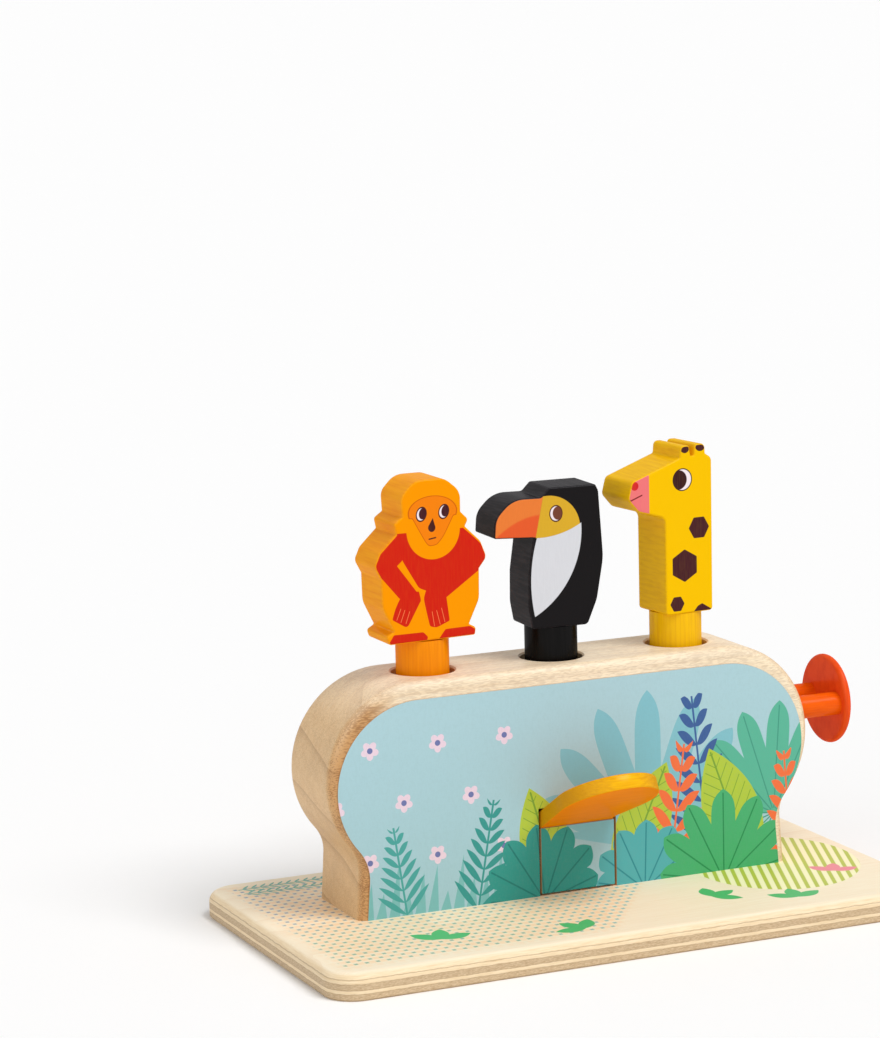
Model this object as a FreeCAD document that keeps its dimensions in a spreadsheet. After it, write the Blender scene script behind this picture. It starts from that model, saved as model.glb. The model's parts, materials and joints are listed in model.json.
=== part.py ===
"""Pop up animal toy: a hippo-shaped block on a board, with three animals on dowels.

Frame: X to the right along the block, Y to the back, Z up. The origin is the bottom
centre of the board. Sizes are in millimetres. Each piece is drawn in the block's own
frame, whose origin is the middle of the block's foot, and then set on the board.
"""

import FreeCAD, Part

import math
import os

import Sketcher
from FreeCAD import Placement, Rotation, Vector

os.makedirs("parts", exist_ok=True)
doc = FreeCAD.newDocument("pop_up_toy")

# Driving sizes

SIZES = {
    # board
    "base_length": 248,
    "base_width": 137,
    "base_thick": 10,
    "base_corner": 12,
    "base_round": 4,
    "base_foot_edge": 0.8,
    "block_shift": 13,
    # block
    "block_height": 87,
    "block_depth": 39.6,
    "block_half": 99.8,
    "foot_inset": 10.5,
    "neck_inset": 11.75,
    "bulge_radius": 36,
    "neck_radius": 14,
    "block_round": 3.3,
    # printed facing
    "print_thick": 0.4,
    "print_rim": 3.3,
    "print_top_rim": 6.5,
    # holes and dowels
    "hole_diameter": 24,
    "hole_spacing": 53,
    "hole_chamfer": 0.6,
    "dowel_diameter": 20,
    "dowel_length": 72,
    "dowel_round": 3,
    "dowel_foot": 27.5,
    "groove_drop": 39,
    "groove_width": 1.8,
    "groove_depth": 0.8,
    "spigot_diameter": 10,
    "spigot_length": 14,
    # figures
    "figure_thick": 20,
    "figure_edge": 0.8,
    "toucan_turn": -3,
    "giraffe_turn": 5,
    # flap, paddle and lift arm
    "flap_width": 30.4,
    "flap_slit": 0.9,
    "flap_thick": 7.5,
    "flap_foot": 0.8,
    "opening_play": 9.2,
    "recess_play": 2.8,
    "swing_play": 6.2,
    "swing_drop": 3,
    "pivot_depth": 3.3,
    "pivot_height": 20,
    "pin_diameter": 3,
    "pin_length": 52,
    "pin_play": 0.05,
    "arm_width": 12,
    "arm_thick": 6,
    "arm_drop": 1.8,
    "arm_end": 7,
    "arm_round": 4,
    "rest_back": 1,
    "rest_width": 7,
    "rest_play": 0.1,
    "paddle_radius": 20,
    "paddle_centre": 23,
    "paddle_thick": 7,
    "paddle_tilt": 29,
    "paddle_root": 26.3,
    "paddle_tail": 5.5,
    "paddle_edge": 0.8,
    # followers and plunger
    "follower_play": 0.35,
    "follower_seat": 0.1,
    "follower_thick": 5,
    "dome_radius": 8,
    "dome_play": 0.15,
    "plunger_thick": 6,
    "plunger_boss": 10,
    "plunger_boss_length": 4,
    # push button
    "disc_diameter": 35,
    "disc_thick": 5.6,
    "disc_lip": 3,
    "disc_stand": 18,
    "rod_diameter": 9,
    "rod_spacing": 20,
    "rod_height": 57.5,
    "rod_play": 0.3,
    "rod_in_disc": 2.5,
    "button_travel": 10,
    "web_clear": 0.5,
    "web_thick": 5.5,
    "web_edge": 2.5,
    "web_side": 1,
    "slide_play": 0.4,
    "room_open": 1,
    "wedge_width": 14,
    "wedge_reach": 12,
    "wedge_mid": 14.3,
    "wedge_slope": 32,
    "wedge_play": 0.35,
    # springs
    "spring_wire": 1.2,
    "spring_outer": 17,
    "spring_turns": 4.5,
    "return_wire": 0.5,
    "return_outer": 6,
    "return_turns": 5.5,
    "return_length": 21,
    "return_play": 0.35,
    # screws
    "screw_shank": 3.6,
    "screw_head": 7.2,
    "screw_length": 26,
    "screw_sunk": 0.3,
    "screw_tip": 4,
}

# Sizes that follow from them
DERIVED = {
    "foot_half": "=block_half - foot_inset",
    "neck_half": "=block_half - neck_inset",
    "print_half": "=block_half - print_rim",
    "print_foot": "=foot_half - print_rim",
    "print_neck": "=neck_half - print_rim",
    "print_height": "=block_height - print_top_rim",
    "print_bulge": "=bulge_radius - print_rim",
    "print_neck_radius": "=neck_radius + print_rim",
    "opening_top": "=paddle_root + opening_play",
    "recess_depth": "=flap_thick + recess_play",
    "swing_depth": "=recess_depth + swing_play",
    "swing_height": "=pivot_height - swing_drop",
    "arm_top": "=pivot_height - arm_drop",
    "disc_left": "=block_half + disc_stand",
    "web_left": "=hole_spacing + hole_diameter / 2 + button_travel + web_clear",
    "web_right": "=web_left + web_thick",
    "web_top": "=rod_height + rod_diameter / 2 + web_edge",
    "web_width": "=rod_spacing + rod_diameter + 2 * web_side",
    "wedge_left": "=hole_spacing - wedge_reach",
    "wedge_low": "=wedge_mid - wedge_reach * tan(wedge_slope * 1deg)",
    "wedge_top": "=wedge_mid + (web_left - hole_spacing) * tan(wedge_slope * 1deg)",
    "return_left": "=wedge_left - return_length",
}

# The block's screws, by X and Y in the block's frame.
SCREW_PLACES = ((-77, 0), (-28, 0), (27, -13), (27, 13))

sheet = doc.addObject("Spreadsheet::Sheet", "Sizes")
for row, (alias, value) in enumerate({**SIZES, **DERIVED}.items(), start=1):
    sheet.set(f"A{row}", alias)
    sheet.set(f"B{row}", str(value))
    sheet.setAlias(f"B{row}", alias)
doc.recompute()


def size(alias):
    return float(sheet.get(alias))


# Derived places, as expressions of the sheet

FRONT = "-Sizes.block_depth / 2"
PRINT_FRONT = "-Sizes.block_depth / 2 - Sizes.print_thick"
FOLLOWER = "(Sizes.hole_diameter - 2 * Sizes.follower_play)"
SEAT = "(Sizes.dowel_foot - Sizes.follower_seat)"
PIVOT_Y = "(Sizes.pivot_depth - Sizes.block_depth / 2)"
FIGURE_FOOT = "(Sizes.dowel_foot + Sizes.dowel_length)"


# Helpers


def bind(item, **expressions):
    """Tie properties to the sheet; a double underscore stands for a dot."""
    for name, expression in expressions.items():
        item.setExpression(name.replace("__", "."), str(expression))


def new_body(label):
    body = doc.addObject("PartDesign::Body", label)
    body.Label = label
    return body


def sketch_on(body, role, name, offset=None):
    sketch = body.newObject("Sketcher::SketchObject", name)
    plane = next(f for f in body.Origin.OriginFeatures if f.Role == role)
    sketch.AttachmentSupport = [(plane, "")]
    sketch.MapMode = "FlatFace"
    if offset is not None:
        bind(sketch, AttachmentOffset__Base__z=offset)
    return sketch


def hold(sketch, kind, *places, to, near=1.0):
    """Add a driving dimension, near its value, and tie it to an expression."""
    index = sketch.addConstraint(Sketcher.Constraint(kind, *places, near))
    sketch.setExpression(f"Constraints[{index}]", str(to))


def add_lines(sketch, corners):
    """A closed loop of lines through the corners, joined end to end."""
    count = len(corners)
    first = sketch.GeometryCount
    for i, start in enumerate(corners):
        end = corners[(i + 1) % count]
        sketch.addGeometry(Part.LineSegment(Vector(*start, 0), Vector(*end, 0)))
    for i in range(count):
        after = first + (i + 1) % count
        sketch.addConstraint(Sketcher.Constraint("Coincident", first + i, 2, after, 1))
    return first


def add_polygon(sketch, corners):
    """A closed loop of lines whose corners stand at pairs of expressions."""
    guess = [
        (30 * math.cos(2 * math.pi * i / len(corners)), 30 * math.sin(2 * math.pi * i / len(corners)))
        for i in range(len(corners))
    ]
    first = add_lines(sketch, guess)
    for i, (across, up) in enumerate(corners):
        hold(sketch, "DistanceX", -1, 1, first + i, 1, to=across)
        hold(sketch, "DistanceY", -1, 1, first + i, 1, to=up)


def add_rectangle(sketch, left, right, low, high):
    first = add_lines(sketch, [(0, 0), (20, 0), (20, 10), (0, 10)])
    for line, kind in enumerate(("Horizontal", "Vertical", "Horizontal", "Vertical")):
        sketch.addConstraint(Sketcher.Constraint(kind, first + line))
    hold(sketch, "DistanceX", -1, 1, first, 1, to=left)
    hold(sketch, "DistanceX", -1, 1, first + 1, 2, to=right)
    hold(sketch, "DistanceY", -1, 1, first, 1, to=low)
    hold(sketch, "DistanceY", -1, 1, first + 1, 2, to=high)


def add_circle(sketch, diameter, across=0, up=0):
    circle = sketch.addGeometry(Part.Circle(Vector(1, 1, 0), Vector(0, 0, 1), 2.0))
    hold(sketch, "DistanceX", -1, 1, circle, 3, to=across)
    hold(sketch, "DistanceY", -1, 1, circle, 3, to=up)
    hold(sketch, "Diameter", circle, to=diameter)


def pad(body, sketch, length, name, middle=False, back=False):
    feature = body.newObject("PartDesign::Pad", name)
    feature.Profile = sketch
    bind(feature, Length=length)
    if middle:
        feature.SideType = "Symmetric"
    feature.Reversed = back
    return feature


def cut(body, sketch, name, length=None, middle=False, back=False):
    """A pocket, right through unless it has a length; it must take material away."""
    doc.recompute()
    before = body.Shape.Volume
    feature = body.newObject("PartDesign::Pocket", name)
    feature.Profile = sketch
    if length is None:
        feature.Type = "ThroughAll"
    else:
        bind(feature, Length=length)
    if middle:
        feature.SideType = "Symmetric"
    feature.Reversed = back
    doc.recompute()
    if body.Shape.Volume > before - 0.01:
        raise RuntimeError(f"{name} cuts nothing")
    return feature


def revolve(body, sketch, axis, name):
    feature = body.newObject("PartDesign::Revolution", name)
    feature.Profile = sketch
    feature.ReferenceAxis = (sketch, [axis])
    feature.Angle = 360
    return feature


def edges_where(shape, test):
    return [f"Edge{i}" for i, edge in enumerate(shape.Edges, start=1) if test(edge)]


def round_edges(body, test, radius, name):
    doc.recompute()
    base = body.Tip
    feature = body.newObject("PartDesign::Fillet", name)
    feature.Base = (base, edges_where(base.Shape, test))
    bind(feature, Radius=radius)
    return feature


def bevel_edges(body, test, width, name):
    doc.recompute()
    base = body.Tip
    feature = body.newObject("PartDesign::Chamfer", name)
    feature.Base = (base, edges_where(base.Shape, test))
    bind(feature, Size=width)
    return feature


def on_plane(edge, axis, place):
    """True for an edge that lies wholly at one coordinate."""
    low = getattr(edge.BoundBox, f"{axis}Min")
    high = getattr(edge.BoundBox, f"{axis}Max")
    return abs(low - place) < 0.001 and abs(high - place) < 0.001


def set_on_board(item, across=0, up=0):
    """Carry a piece from the block's frame to the toy's."""
    bind(
        item,
        Placement__Base__x=across,
        Placement__Base__y="Sizes.block_shift",
        Placement__Base__z=f"Sizes.base_thick + {up}",
    )


# Board


def make_base_board():
    body = new_body("base_board")
    outline = sketch_on(body, "XY_Plane", "BoardOutline")
    half_length = "Sizes.base_length / 2"
    half_width = "Sizes.base_width / 2"
    add_rectangle(outline, f"-{half_length}", half_length, f"-{half_width}", half_width)
    pad(body, outline, "Sizes.base_thick", "BoardPad")
    upright = lambda e: e.BoundBox.ZLength > size("base_thick") - 0.001
    round_edges(body, upright, "Sizes.base_corner", "BoardCorners")
    round_edges(body, lambda e: on_plane(e, "Z", size("base_thick")), "Sizes.base_round", "BoardTopEdge")
    bevel_edges(body, lambda e: on_plane(e, "Z", 0), "Sizes.base_foot_edge", "BoardFootEdge")
    drill_board(body)
    return body


def drill_board(body):
    holes = sketch_on(body, "XY_Plane", "ScrewHoles")
    for across, back in SCREW_PLACES:
        add_circle(holes, "Sizes.screw_shank", across, f"Sizes.block_shift + {back}")
    cut(body, holes, "ScrewDrill", back=True)
    is_mouth = lambda e: on_plane(e, "Z", 0) and hasattr(e.Curve, "Radius") and e.Curve.Radius < 3
    bevel_edges(body, is_mouth, "(Sizes.screw_head - Sizes.screw_shank) / 2", "ScrewSinks")


def screw_solid():
    """A countersunk wood screw, head down, with its head just under the board's face."""
    shank = size("screw_shank") / 2
    head = size("screw_head") / 2
    sunk = size("screw_sunk")
    tip = size("screw_tip")
    profile = [
        (0, sunk),
        (head - sunk, sunk),
        (shank, head - shank),
        (shank, size("screw_length") - tip),
        (0.4, size("screw_length")),
        (0, size("screw_length")),
    ]
    wire = Part.makePolygon([Vector(r, 0, z) for r, z in profile + profile[:1]])
    return Part.Face(wire).revolve(Vector(0, 0, 0), Vector(0, 0, 1), 360)


def make_base_screws():
    screws = []
    for across, back in SCREW_PLACES:
        screw = screw_solid()
        screw.translate(Vector(across, size("block_shift") + back, 0))
        screws.append(screw)
    node = doc.addObject("Part::Feature", "base_screws")
    node.Label = "base_screws"
    node.Shape = Part.makeCompound(screws)
    return node


# Block: half of its outline, mirrored


def half_outline(sketch, foot, neck, half, height, bulge, neck_radius):
    """Foot, leg, hollow neck, round bulge and flat top of the right half.

    The arguments are aliases of the sheet. The arcs meet the lines and each other
    smoothly: they are drawn where they touch, and the constraints keep them so.
    """
    big = size(bulge)
    small = size(neck_radius)
    centre = Vector(size(half) - big, size(height) - big, 0)
    hollow_x = size(neck) + small
    drop = math.sqrt((big + small) ** 2 - (hollow_x - centre.x) ** 2)
    hollow = Vector(hollow_x, centre.y - drop, 0)
    turn = math.atan2(hollow.y - centre.y, hollow.x - centre.x)
    foot_end = Vector(size(foot), 0, 0)
    away = foot_end - hollow
    touch = 2 * math.pi + math.atan2(away.y, away.x) - math.acos(small / away.Length)
    leg_top = hollow + Vector(small * math.cos(touch), small * math.sin(touch), 0)
    top = Vector(centre.x, size(height), 0)
    crown = Vector(0, size(height), 0)
    up = Vector(0, 0, 1)
    sketch.addGeometry(Part.LineSegment(Vector(0, 0, 0), foot_end))
    sketch.addGeometry(Part.LineSegment(foot_end, leg_top))
    sketch.addGeometry(Part.ArcOfCircle(Part.Circle(hollow, up, small), math.pi + turn, touch))
    sketch.addGeometry(Part.ArcOfCircle(Part.Circle(centre, up, big), turn, math.pi / 2))
    sketch.addGeometry(Part.LineSegment(top, crown))
    sketch.addGeometry(Part.LineSegment(crown, Vector(0, 0, 0)))
    for rule in (
        ("Coincident", 0, 1, -1, 1),
        ("Horizontal", 0),
        ("Coincident", 0, 2, 1, 1),
        ("Tangent", 1, 2, 2, 2),
        ("Tangent", 2, 1, 3, 1),
        ("Tangent", 3, 2, 4, 1),
        ("Horizontal", 4),
        ("Coincident", 4, 2, 5, 1),
        ("Coincident", 5, 2, 0, 1),
        ("Vertical", 5),
    ):
        sketch.addConstraint(Sketcher.Constraint(*rule))
    hold(sketch, "DistanceX", -1, 1, 0, 2, to=f"Sizes.{foot}", near=size(foot))
    hold(sketch, "Radius", 2, to=f"Sizes.{neck_radius}", near=small)
    hold(sketch, "Radius", 3, to=f"Sizes.{bulge}", near=big)
    hold(sketch, "DistanceY", -1, 1, 4, 2, to=f"Sizes.{height}", near=size(height))
    hold(sketch, "DistanceX", -1, 1, 3, 3, to=f"Sizes.{half} - Sizes.{bulge}", near=centre.x)
    hold(sketch, "DistanceX", -1, 1, 2, 3, to=f"Sizes.{neck} + Sizes.{neck_radius}", near=hollow_x)


def mirror_half(body, feature, name):
    doc.recompute()
    mirrored = body.newObject("PartDesign::Mirrored", name)
    mirrored.Originals = [feature]
    plane = next(f for f in body.Origin.OriginFeatures if f.Role == "YZ_Plane")
    mirrored.MirrorPlane = (plane, [""])
    body.Tip = mirrored
    doc.recompute()


def make_hippo_block():
    body = new_body("hippo_block")
    outline = sketch_on(body, "XZ_Plane", "BlockOutline")
    half_outline(
        outline, "foot_half", "neck_half", "block_half", "block_height", "bulge_radius", "neck_radius"
    )
    half = pad(body, outline, "Sizes.block_depth", "BlockHalf", middle=True)
    mirror_half(body, half, "BlockWhole")
    face = size("block_depth") / 2

    def is_rim(edge):
        on_face = on_plane(edge, "Y", -face) or on_plane(edge, "Y", face)
        return on_face and not on_plane(edge, "Z", 0)

    round_edges(body, is_rim, "Sizes.block_round", "BlockRim")
    drill_peg_holes(body)
    cut_lever_room(body)
    cut_slider_room(body)
    drill_pin_and_screws(body)
    set_on_board(body)
    return body


def drill_peg_holes(body):
    holes = sketch_on(body, "XY_Plane", "PegHoles", offset="Sizes.block_height")
    for step in (-1, 0, 1):
        add_circle(holes, "Sizes.hole_diameter", f"{step} * Sizes.hole_spacing")
    cut(body, holes, "PegBores")
    top = size("block_height")
    is_mouth = lambda e: on_plane(e, "Z", top) and hasattr(e.Curve, "Radius")
    bevel_edges(body, is_mouth, "Sizes.hole_chamfer", "PegMouths")


def cut_lever_room(body):
    """The opening that the flap fills, and the room that its foot swings into."""
    side = "(Sizes.flap_width / 2 + Sizes.flap_slit)"
    opening = sketch_on(body, "XZ_Plane", "FlapOpening", offset=f"-({FRONT})")
    add_rectangle(opening, f"-{side}", side, "0", "Sizes.opening_top")
    cut(body, opening, "FlapRecess", "Sizes.recess_depth")
    swing = sketch_on(body, "XZ_Plane", "FlapSwing", offset=f"-({FRONT})")
    add_rectangle(swing, f"-{side}", side, "0", "Sizes.swing_height")
    cut(body, swing, "FlapSwingRoom", "Sizes.swing_depth")


def cut_slider_room(body):
    """A channel for the wedge, a room for its web, a spring pocket and two rod bores."""
    channel = sketch_on(body, "XY_Plane", "WedgeChannel")
    half = "(Sizes.wedge_width / 2 + Sizes.slide_play)"
    left = "Sizes.wedge_left - Sizes.button_travel - Sizes.slide_play"
    right = "Sizes.web_right + Sizes.slide_play"
    add_rectangle(channel, left, right, f"-{half}", half)
    cut(body, channel, "WedgeSlot", "Sizes.wedge_top + 4 * Sizes.slide_play", back=True)
    room = sketch_on(body, "XY_Plane", "WebRoom")
    half = "(Sizes.web_width / 2 + 2 * Sizes.slide_play)"
    left = "Sizes.hole_spacing + Sizes.hole_diameter / 2 - Sizes.room_open"
    add_rectangle(room, left, right, f"-{half}", half)
    cut(body, room, "WebSlot", "Sizes.web_top + 2 * Sizes.slide_play", back=True)
    pocket = sketch_on(body, "XY_Plane", "SpringPocket")
    half = "(Sizes.return_outer / 2 + Sizes.return_play)"
    add_rectangle(pocket, "Sizes.return_left", "Sizes.wedge_left", f"-{half}", half)
    cut(body, pocket, "SpringSlot", "Sizes.return_outer + 4 * Sizes.return_play", back=True)
    bores = sketch_on(body, "YZ_Plane", "RodBores", offset=right)
    for side in (-1, 1):
        rod = f"{side} * Sizes.rod_spacing / 2"
        add_circle(bores, "Sizes.rod_diameter + 2 * Sizes.rod_play", rod, "Sizes.rod_height")
    cut(body, bores, "RodGuides", "Sizes.block_half", back=True)


def drill_pin_and_screws(body):
    pin = sketch_on(body, "YZ_Plane", "PinHole")
    add_circle(pin, "Sizes.pin_diameter", PIVOT_Y, "Sizes.pivot_height")
    cut(body, pin, "PinBore", "Sizes.pin_length", middle=True)
    screws = sketch_on(body, "XY_Plane", "ScrewPilots")
    for across, back in SCREW_PLACES:
        add_circle(screws, "Sizes.screw_shank", across, back)
    cut(body, screws, "ScrewBores", "Sizes.screw_length - Sizes.base_thick", back=True)


def make_front_print():
    """The printed facing: the block's outline drawn in, with the flap's opening."""
    body = new_body("front_print_facing")
    outline = sketch_on(body, "XZ_Plane", "PrintOutline", offset=f"-({FRONT})")
    half_outline(
        outline,
        "print_foot",
        "print_neck",
        "print_half",
        "print_height",
        "print_bulge",
        "print_neck_radius",
    )
    half = pad(body, outline, "Sizes.print_thick", "PrintHalf")
    mirror_half(body, half, "PrintWhole")
    side = "(Sizes.flap_width / 2 + Sizes.flap_slit)"
    opening = sketch_on(body, "XZ_Plane", "PrintOpening")
    add_rectangle(opening, f"-{side}", side, "-1", "Sizes.opening_top")
    cut(body, opening, "PrintCutOut", middle=True)
    set_on_board(body)
    return body


# Flap, paddle and lift arm: one lever that turns on a steel pin


def make_lever_flap():
    body = new_body("lever_flap")
    profile = sketch_on(body, "YZ_Plane", "FlapProfile")
    back = f"(Sizes.flap_thick - Sizes.block_depth / 2)"
    drop = "tan(Sizes.paddle_tilt * 1 deg)"
    front_top = f"Sizes.paddle_root - Sizes.print_thick * {drop}"
    back_top = f"Sizes.paddle_root - (Sizes.flap_thick + Sizes.print_thick) * {drop}"
    corners = [
        (FRONT, "Sizes.flap_foot"),
        (back, "Sizes.flap_foot"),
        (back, back_top),
        (FRONT, front_top),
    ]
    add_polygon(profile, corners)
    pad(body, profile, "Sizes.flap_width", "FlapPad", middle=True)
    bore = sketch_on(body, "YZ_Plane", "FlapBore")
    add_circle(bore, "Sizes.pin_diameter + 2 * Sizes.pin_play", PIVOT_Y, "Sizes.pivot_height")
    cut(body, bore, "FlapPinBore", middle=True)
    set_on_board(body)
    return body


def make_flap_print():
    body = new_body("flap_print_facing")
    outline = sketch_on(body, "XZ_Plane", "FlapPrintOutline", offset=f"-({FRONT})")
    side = "Sizes.flap_width / 2"
    add_rectangle(outline, f"-{side}", side, "Sizes.flap_foot", "Sizes.paddle_root - Sizes.print_thick")
    pad(body, outline, "Sizes.print_thick", "FlapPrintPad")
    set_on_board(body)
    return body


def make_lever_paddle():
    """A round board cut to the flap's width where it meets the block, tilted up."""
    body = new_body("lever_paddle")
    tongue = sketch_on(body, "XY_Plane", "PaddleTongue")
    side = "Sizes.flap_width / 2"
    add_rectangle(tongue, f"-{side}", side, "-Sizes.paddle_centre", "Sizes.paddle_tail")
    pad(body, tongue, "Sizes.paddle_thick", "PaddleRoot")
    disc = sketch_on(body, "XY_Plane", "PaddleDisc")
    add_circle(disc, "2 * Sizes.paddle_radius", 0, "-Sizes.paddle_centre")
    pad(body, disc, "Sizes.paddle_thick", "PaddleRound")
    thick = size("paddle_thick")

    def is_outer_rim(edge):
        flat = on_plane(edge, "Z", 0) or on_plane(edge, "Z", thick)
        return flat and edge.BoundBox.YMax < -1

    round_edges(body, is_outer_rim, "Sizes.paddle_edge", "PaddleEdges")
    body.Placement.Rotation = Rotation(Vector(1, 0, 0), -size("paddle_tilt"))
    bind(
        body,
        Placement__Base__y=f"Sizes.block_shift + {PRINT_FRONT}",
        Placement__Base__z="Sizes.base_thick + Sizes.paddle_root",
    )
    return body


def make_lever_arm():
    body = new_body("lever_arm")
    outline = sketch_on(body, "XY_Plane", "ArmOutline", offset="Sizes.arm_top - Sizes.arm_thick")
    side = "Sizes.arm_width / 2"
    root = "Sizes.flap_thick - Sizes.block_depth / 2"
    add_rectangle(outline, f"-{side}", side, root, "Sizes.arm_end")
    pad(body, outline, "Sizes.arm_thick", "ArmPad")
    end = size("arm_end")
    is_corner = lambda e: on_plane(e, "Y", end) and e.BoundBox.ZLength > 1
    round_edges(body, is_corner, "Sizes.arm_round", "ArmEnd")
    set_on_board(body)
    return body


def make_arm_rest():
    """A block on the board that stops the arm, so that the flap rests flush."""
    body = new_body("arm_rest")
    outline = sketch_on(body, "XY_Plane", "RestOutline")
    side = "Sizes.arm_width / 2"
    back = "Sizes.arm_end - Sizes.rest_back"
    add_rectangle(outline, f"-{side}", side, f"{back} - Sizes.rest_width", back)
    pad(body, outline, "Sizes.arm_top - Sizes.arm_thick - Sizes.rest_play", "RestPad")
    set_on_board(body)
    return body


def make_lever_pin():
    pin = doc.addObject("Part::Cylinder", "lever_pin")
    pin.Label = "lever_pin"
    pin.Placement.Rotation = Rotation(Vector(0, 1, 0), 90)
    bind(
        pin,
        Radius="Sizes.pin_diameter / 2",
        Height="Sizes.pin_length",
        Placement__Base__x="-Sizes.pin_length / 2",
        Placement__Base__y=f"Sizes.block_shift + {PIVOT_Y}",
        Placement__Base__z="Sizes.base_thick + Sizes.pivot_height",
    )
    return pin


# Followers and plunger: what the dowels stand on inside the block


def make_toucan_follower():
    """A disc in the middle hole, with a domed foot that rides on the lift arm."""
    body = new_body("toucan_follower")
    plate = sketch_on(body, "XY_Plane", "PlateOutline", offset=SEAT)
    add_circle(plate, FOLLOWER)
    pad(body, plate, "Sizes.follower_thick", "FollowerPlate", back=True)
    foot = sketch_on(body, "XZ_Plane", "DomeProfile")
    low = size("arm_top") + size("dome_play")
    radius = size("dome_radius")
    plate_low = size("dowel_foot") - size("follower_seat") - size("follower_thick")
    centre = Vector(0, low + radius, 0)
    side = Vector(math.sqrt(radius**2 - (centre.y - plate_low) ** 2), plate_low, 0)
    middle = Vector(0, plate_low, 0)
    start = math.atan2(side.y - centre.y, side.x)
    circle = Part.Circle(centre, Vector(0, 0, 1), radius)
    foot.addGeometry(Part.ArcOfCircle(circle, -math.pi / 2, start))
    foot.addGeometry(Part.LineSegment(side, middle))
    foot.addGeometry(Part.LineSegment(middle, Vector(0, low, 0)))
    revolve(body, foot, "V_Axis", "FollowerDome")
    set_on_board(body)
    return body


def make_giraffe_follower():
    """A round plug in the right hole, cut below to the wedge's slope."""
    body = new_body("giraffe_follower")
    plate = sketch_on(body, "XY_Plane", "PlugOutline", offset=SEAT)
    add_circle(plate, FOLLOWER)
    pad(body, plate, SEAT, "PlugPad", back=True)
    slope = sketch_on(body, "XZ_Plane", "PlugSlope")
    rise = "tan(Sizes.wedge_slope * 1 deg)"
    middle = "Sizes.wedge_mid + Sizes.wedge_play"
    reach = "Sizes.hole_diameter"
    corners = [
        (f"-{reach}", "-30"),
        (reach, "-30"),
        (reach, f"{middle} + {reach} * {rise}"),
        (f"-{reach}", f"{middle} - {reach} * {rise}"),
    ]
    add_polygon(slope, corners)
    cut(body, slope, "PlugBevel", middle=True)
    set_on_board(body, across="Sizes.hole_spacing")
    return body


def make_monkey_plunger():
    """A disc on top of the spring, with a boss that keeps the spring centred."""
    body = new_body("monkey_plunger")
    plate = sketch_on(body, "XY_Plane", "PlungerOutline", offset=SEAT)
    add_circle(plate, FOLLOWER)
    pad(body, plate, "Sizes.plunger_thick", "PlungerPlate", back=True)
    boss = sketch_on(body, "XY_Plane", "BossOutline", offset=f"{SEAT} - Sizes.plunger_thick")
    add_circle(boss, "Sizes.plunger_boss")
    pad(body, boss, "Sizes.plunger_boss_length", "PlungerBoss", back=True)
    set_on_board(body, across="-Sizes.hole_spacing")
    return body


# Springs: one unbroken wire, each quarter turn a pair of smooth arcs


def arc_between(start, corner, end):
    """The arc from start to end whose end tangents meet at the corner."""
    first = (corner - start).normalize()
    last = (end - corner).normalize()
    weight = math.cos(first.getAngle(last) / 2)
    middle = (start + corner * (2 * weight) + end) * (1 / (2 + 2 * weight))
    return Part.Arc(start, middle, end).toShape()


def biarc(start, start_way, end, end_way):
    span = end - start
    ways = start_way + end_way
    spread = 2 * (1 - start_way.dot(end_way))
    along = span.dot(ways)
    reach = (math.sqrt(along**2 + spread * span.dot(span)) - along) / spread
    first_corner = start + start_way * reach
    last_corner = end - end_way * reach
    meet = (first_corner + last_corner) * 0.5
    return [arc_between(start, first_corner, meet), arc_between(meet, last_corner, end)]


def coil(length, outer, wire, turns):
    """A compression spring along Z from 0 to its length."""
    radius = (outer - wire) / 2
    climb = (length - wire) / (2 * math.pi * turns)
    steps = round(turns * 4)
    edges = []

    def point(angle):
        return Vector(radius * math.cos(angle), radius * math.sin(angle), wire / 2 + climb * angle)

    def way(angle):
        return Vector(-radius * math.sin(angle), radius * math.cos(angle), climb).normalize()

    for step in range(steps):
        a = 2 * math.pi * turns * step / steps
        b = 2 * math.pi * turns * (step + 1) / steps
        edges += biarc(point(a), way(a), point(b), way(b))
    path = Part.Wire(edges)
    ring = Part.Wire(Part.Circle(point(0), way(0), wire / 2).toShape())
    gap = 2 * math.pi * climb * radius / math.hypot(radius, climb) - wire
    print(f"spring {outer} mm wide, {length:.1f} mm long: least gap to itself {gap:.2f} mm")
    return path.makePipeShell([ring], True)


def make_monkey_spring():
    length = size("dowel_foot") - size("follower_seat") - size("plunger_thick")
    node = doc.addObject("Part::Feature", "monkey_spring")
    node.Label = "monkey_spring"
    node.Shape = coil(length, size("spring_outer"), size("spring_wire"), size("spring_turns"))
    node.Placement = Placement(
        Vector(-size("hole_spacing"), size("block_shift"), size("base_thick")), Rotation()
    )
    return node


def make_button_spring():
    length = size("return_length")
    node = doc.addObject("Part::Feature", "button_spring")
    node.Label = "button_spring"
    node.Shape = coil(length, size("return_outer"), size("return_wire"), size("return_turns"))
    up = size("base_thick") + size("return_outer") / 2 + 2 * size("return_play")
    node.Placement = Placement(
        Vector(size("return_left"), size("block_shift"), up), Rotation(Vector(0, 1, 0), 90)
    )
    return node


# Push button: a disc on two rods, whose inner ends carry a wedge


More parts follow.
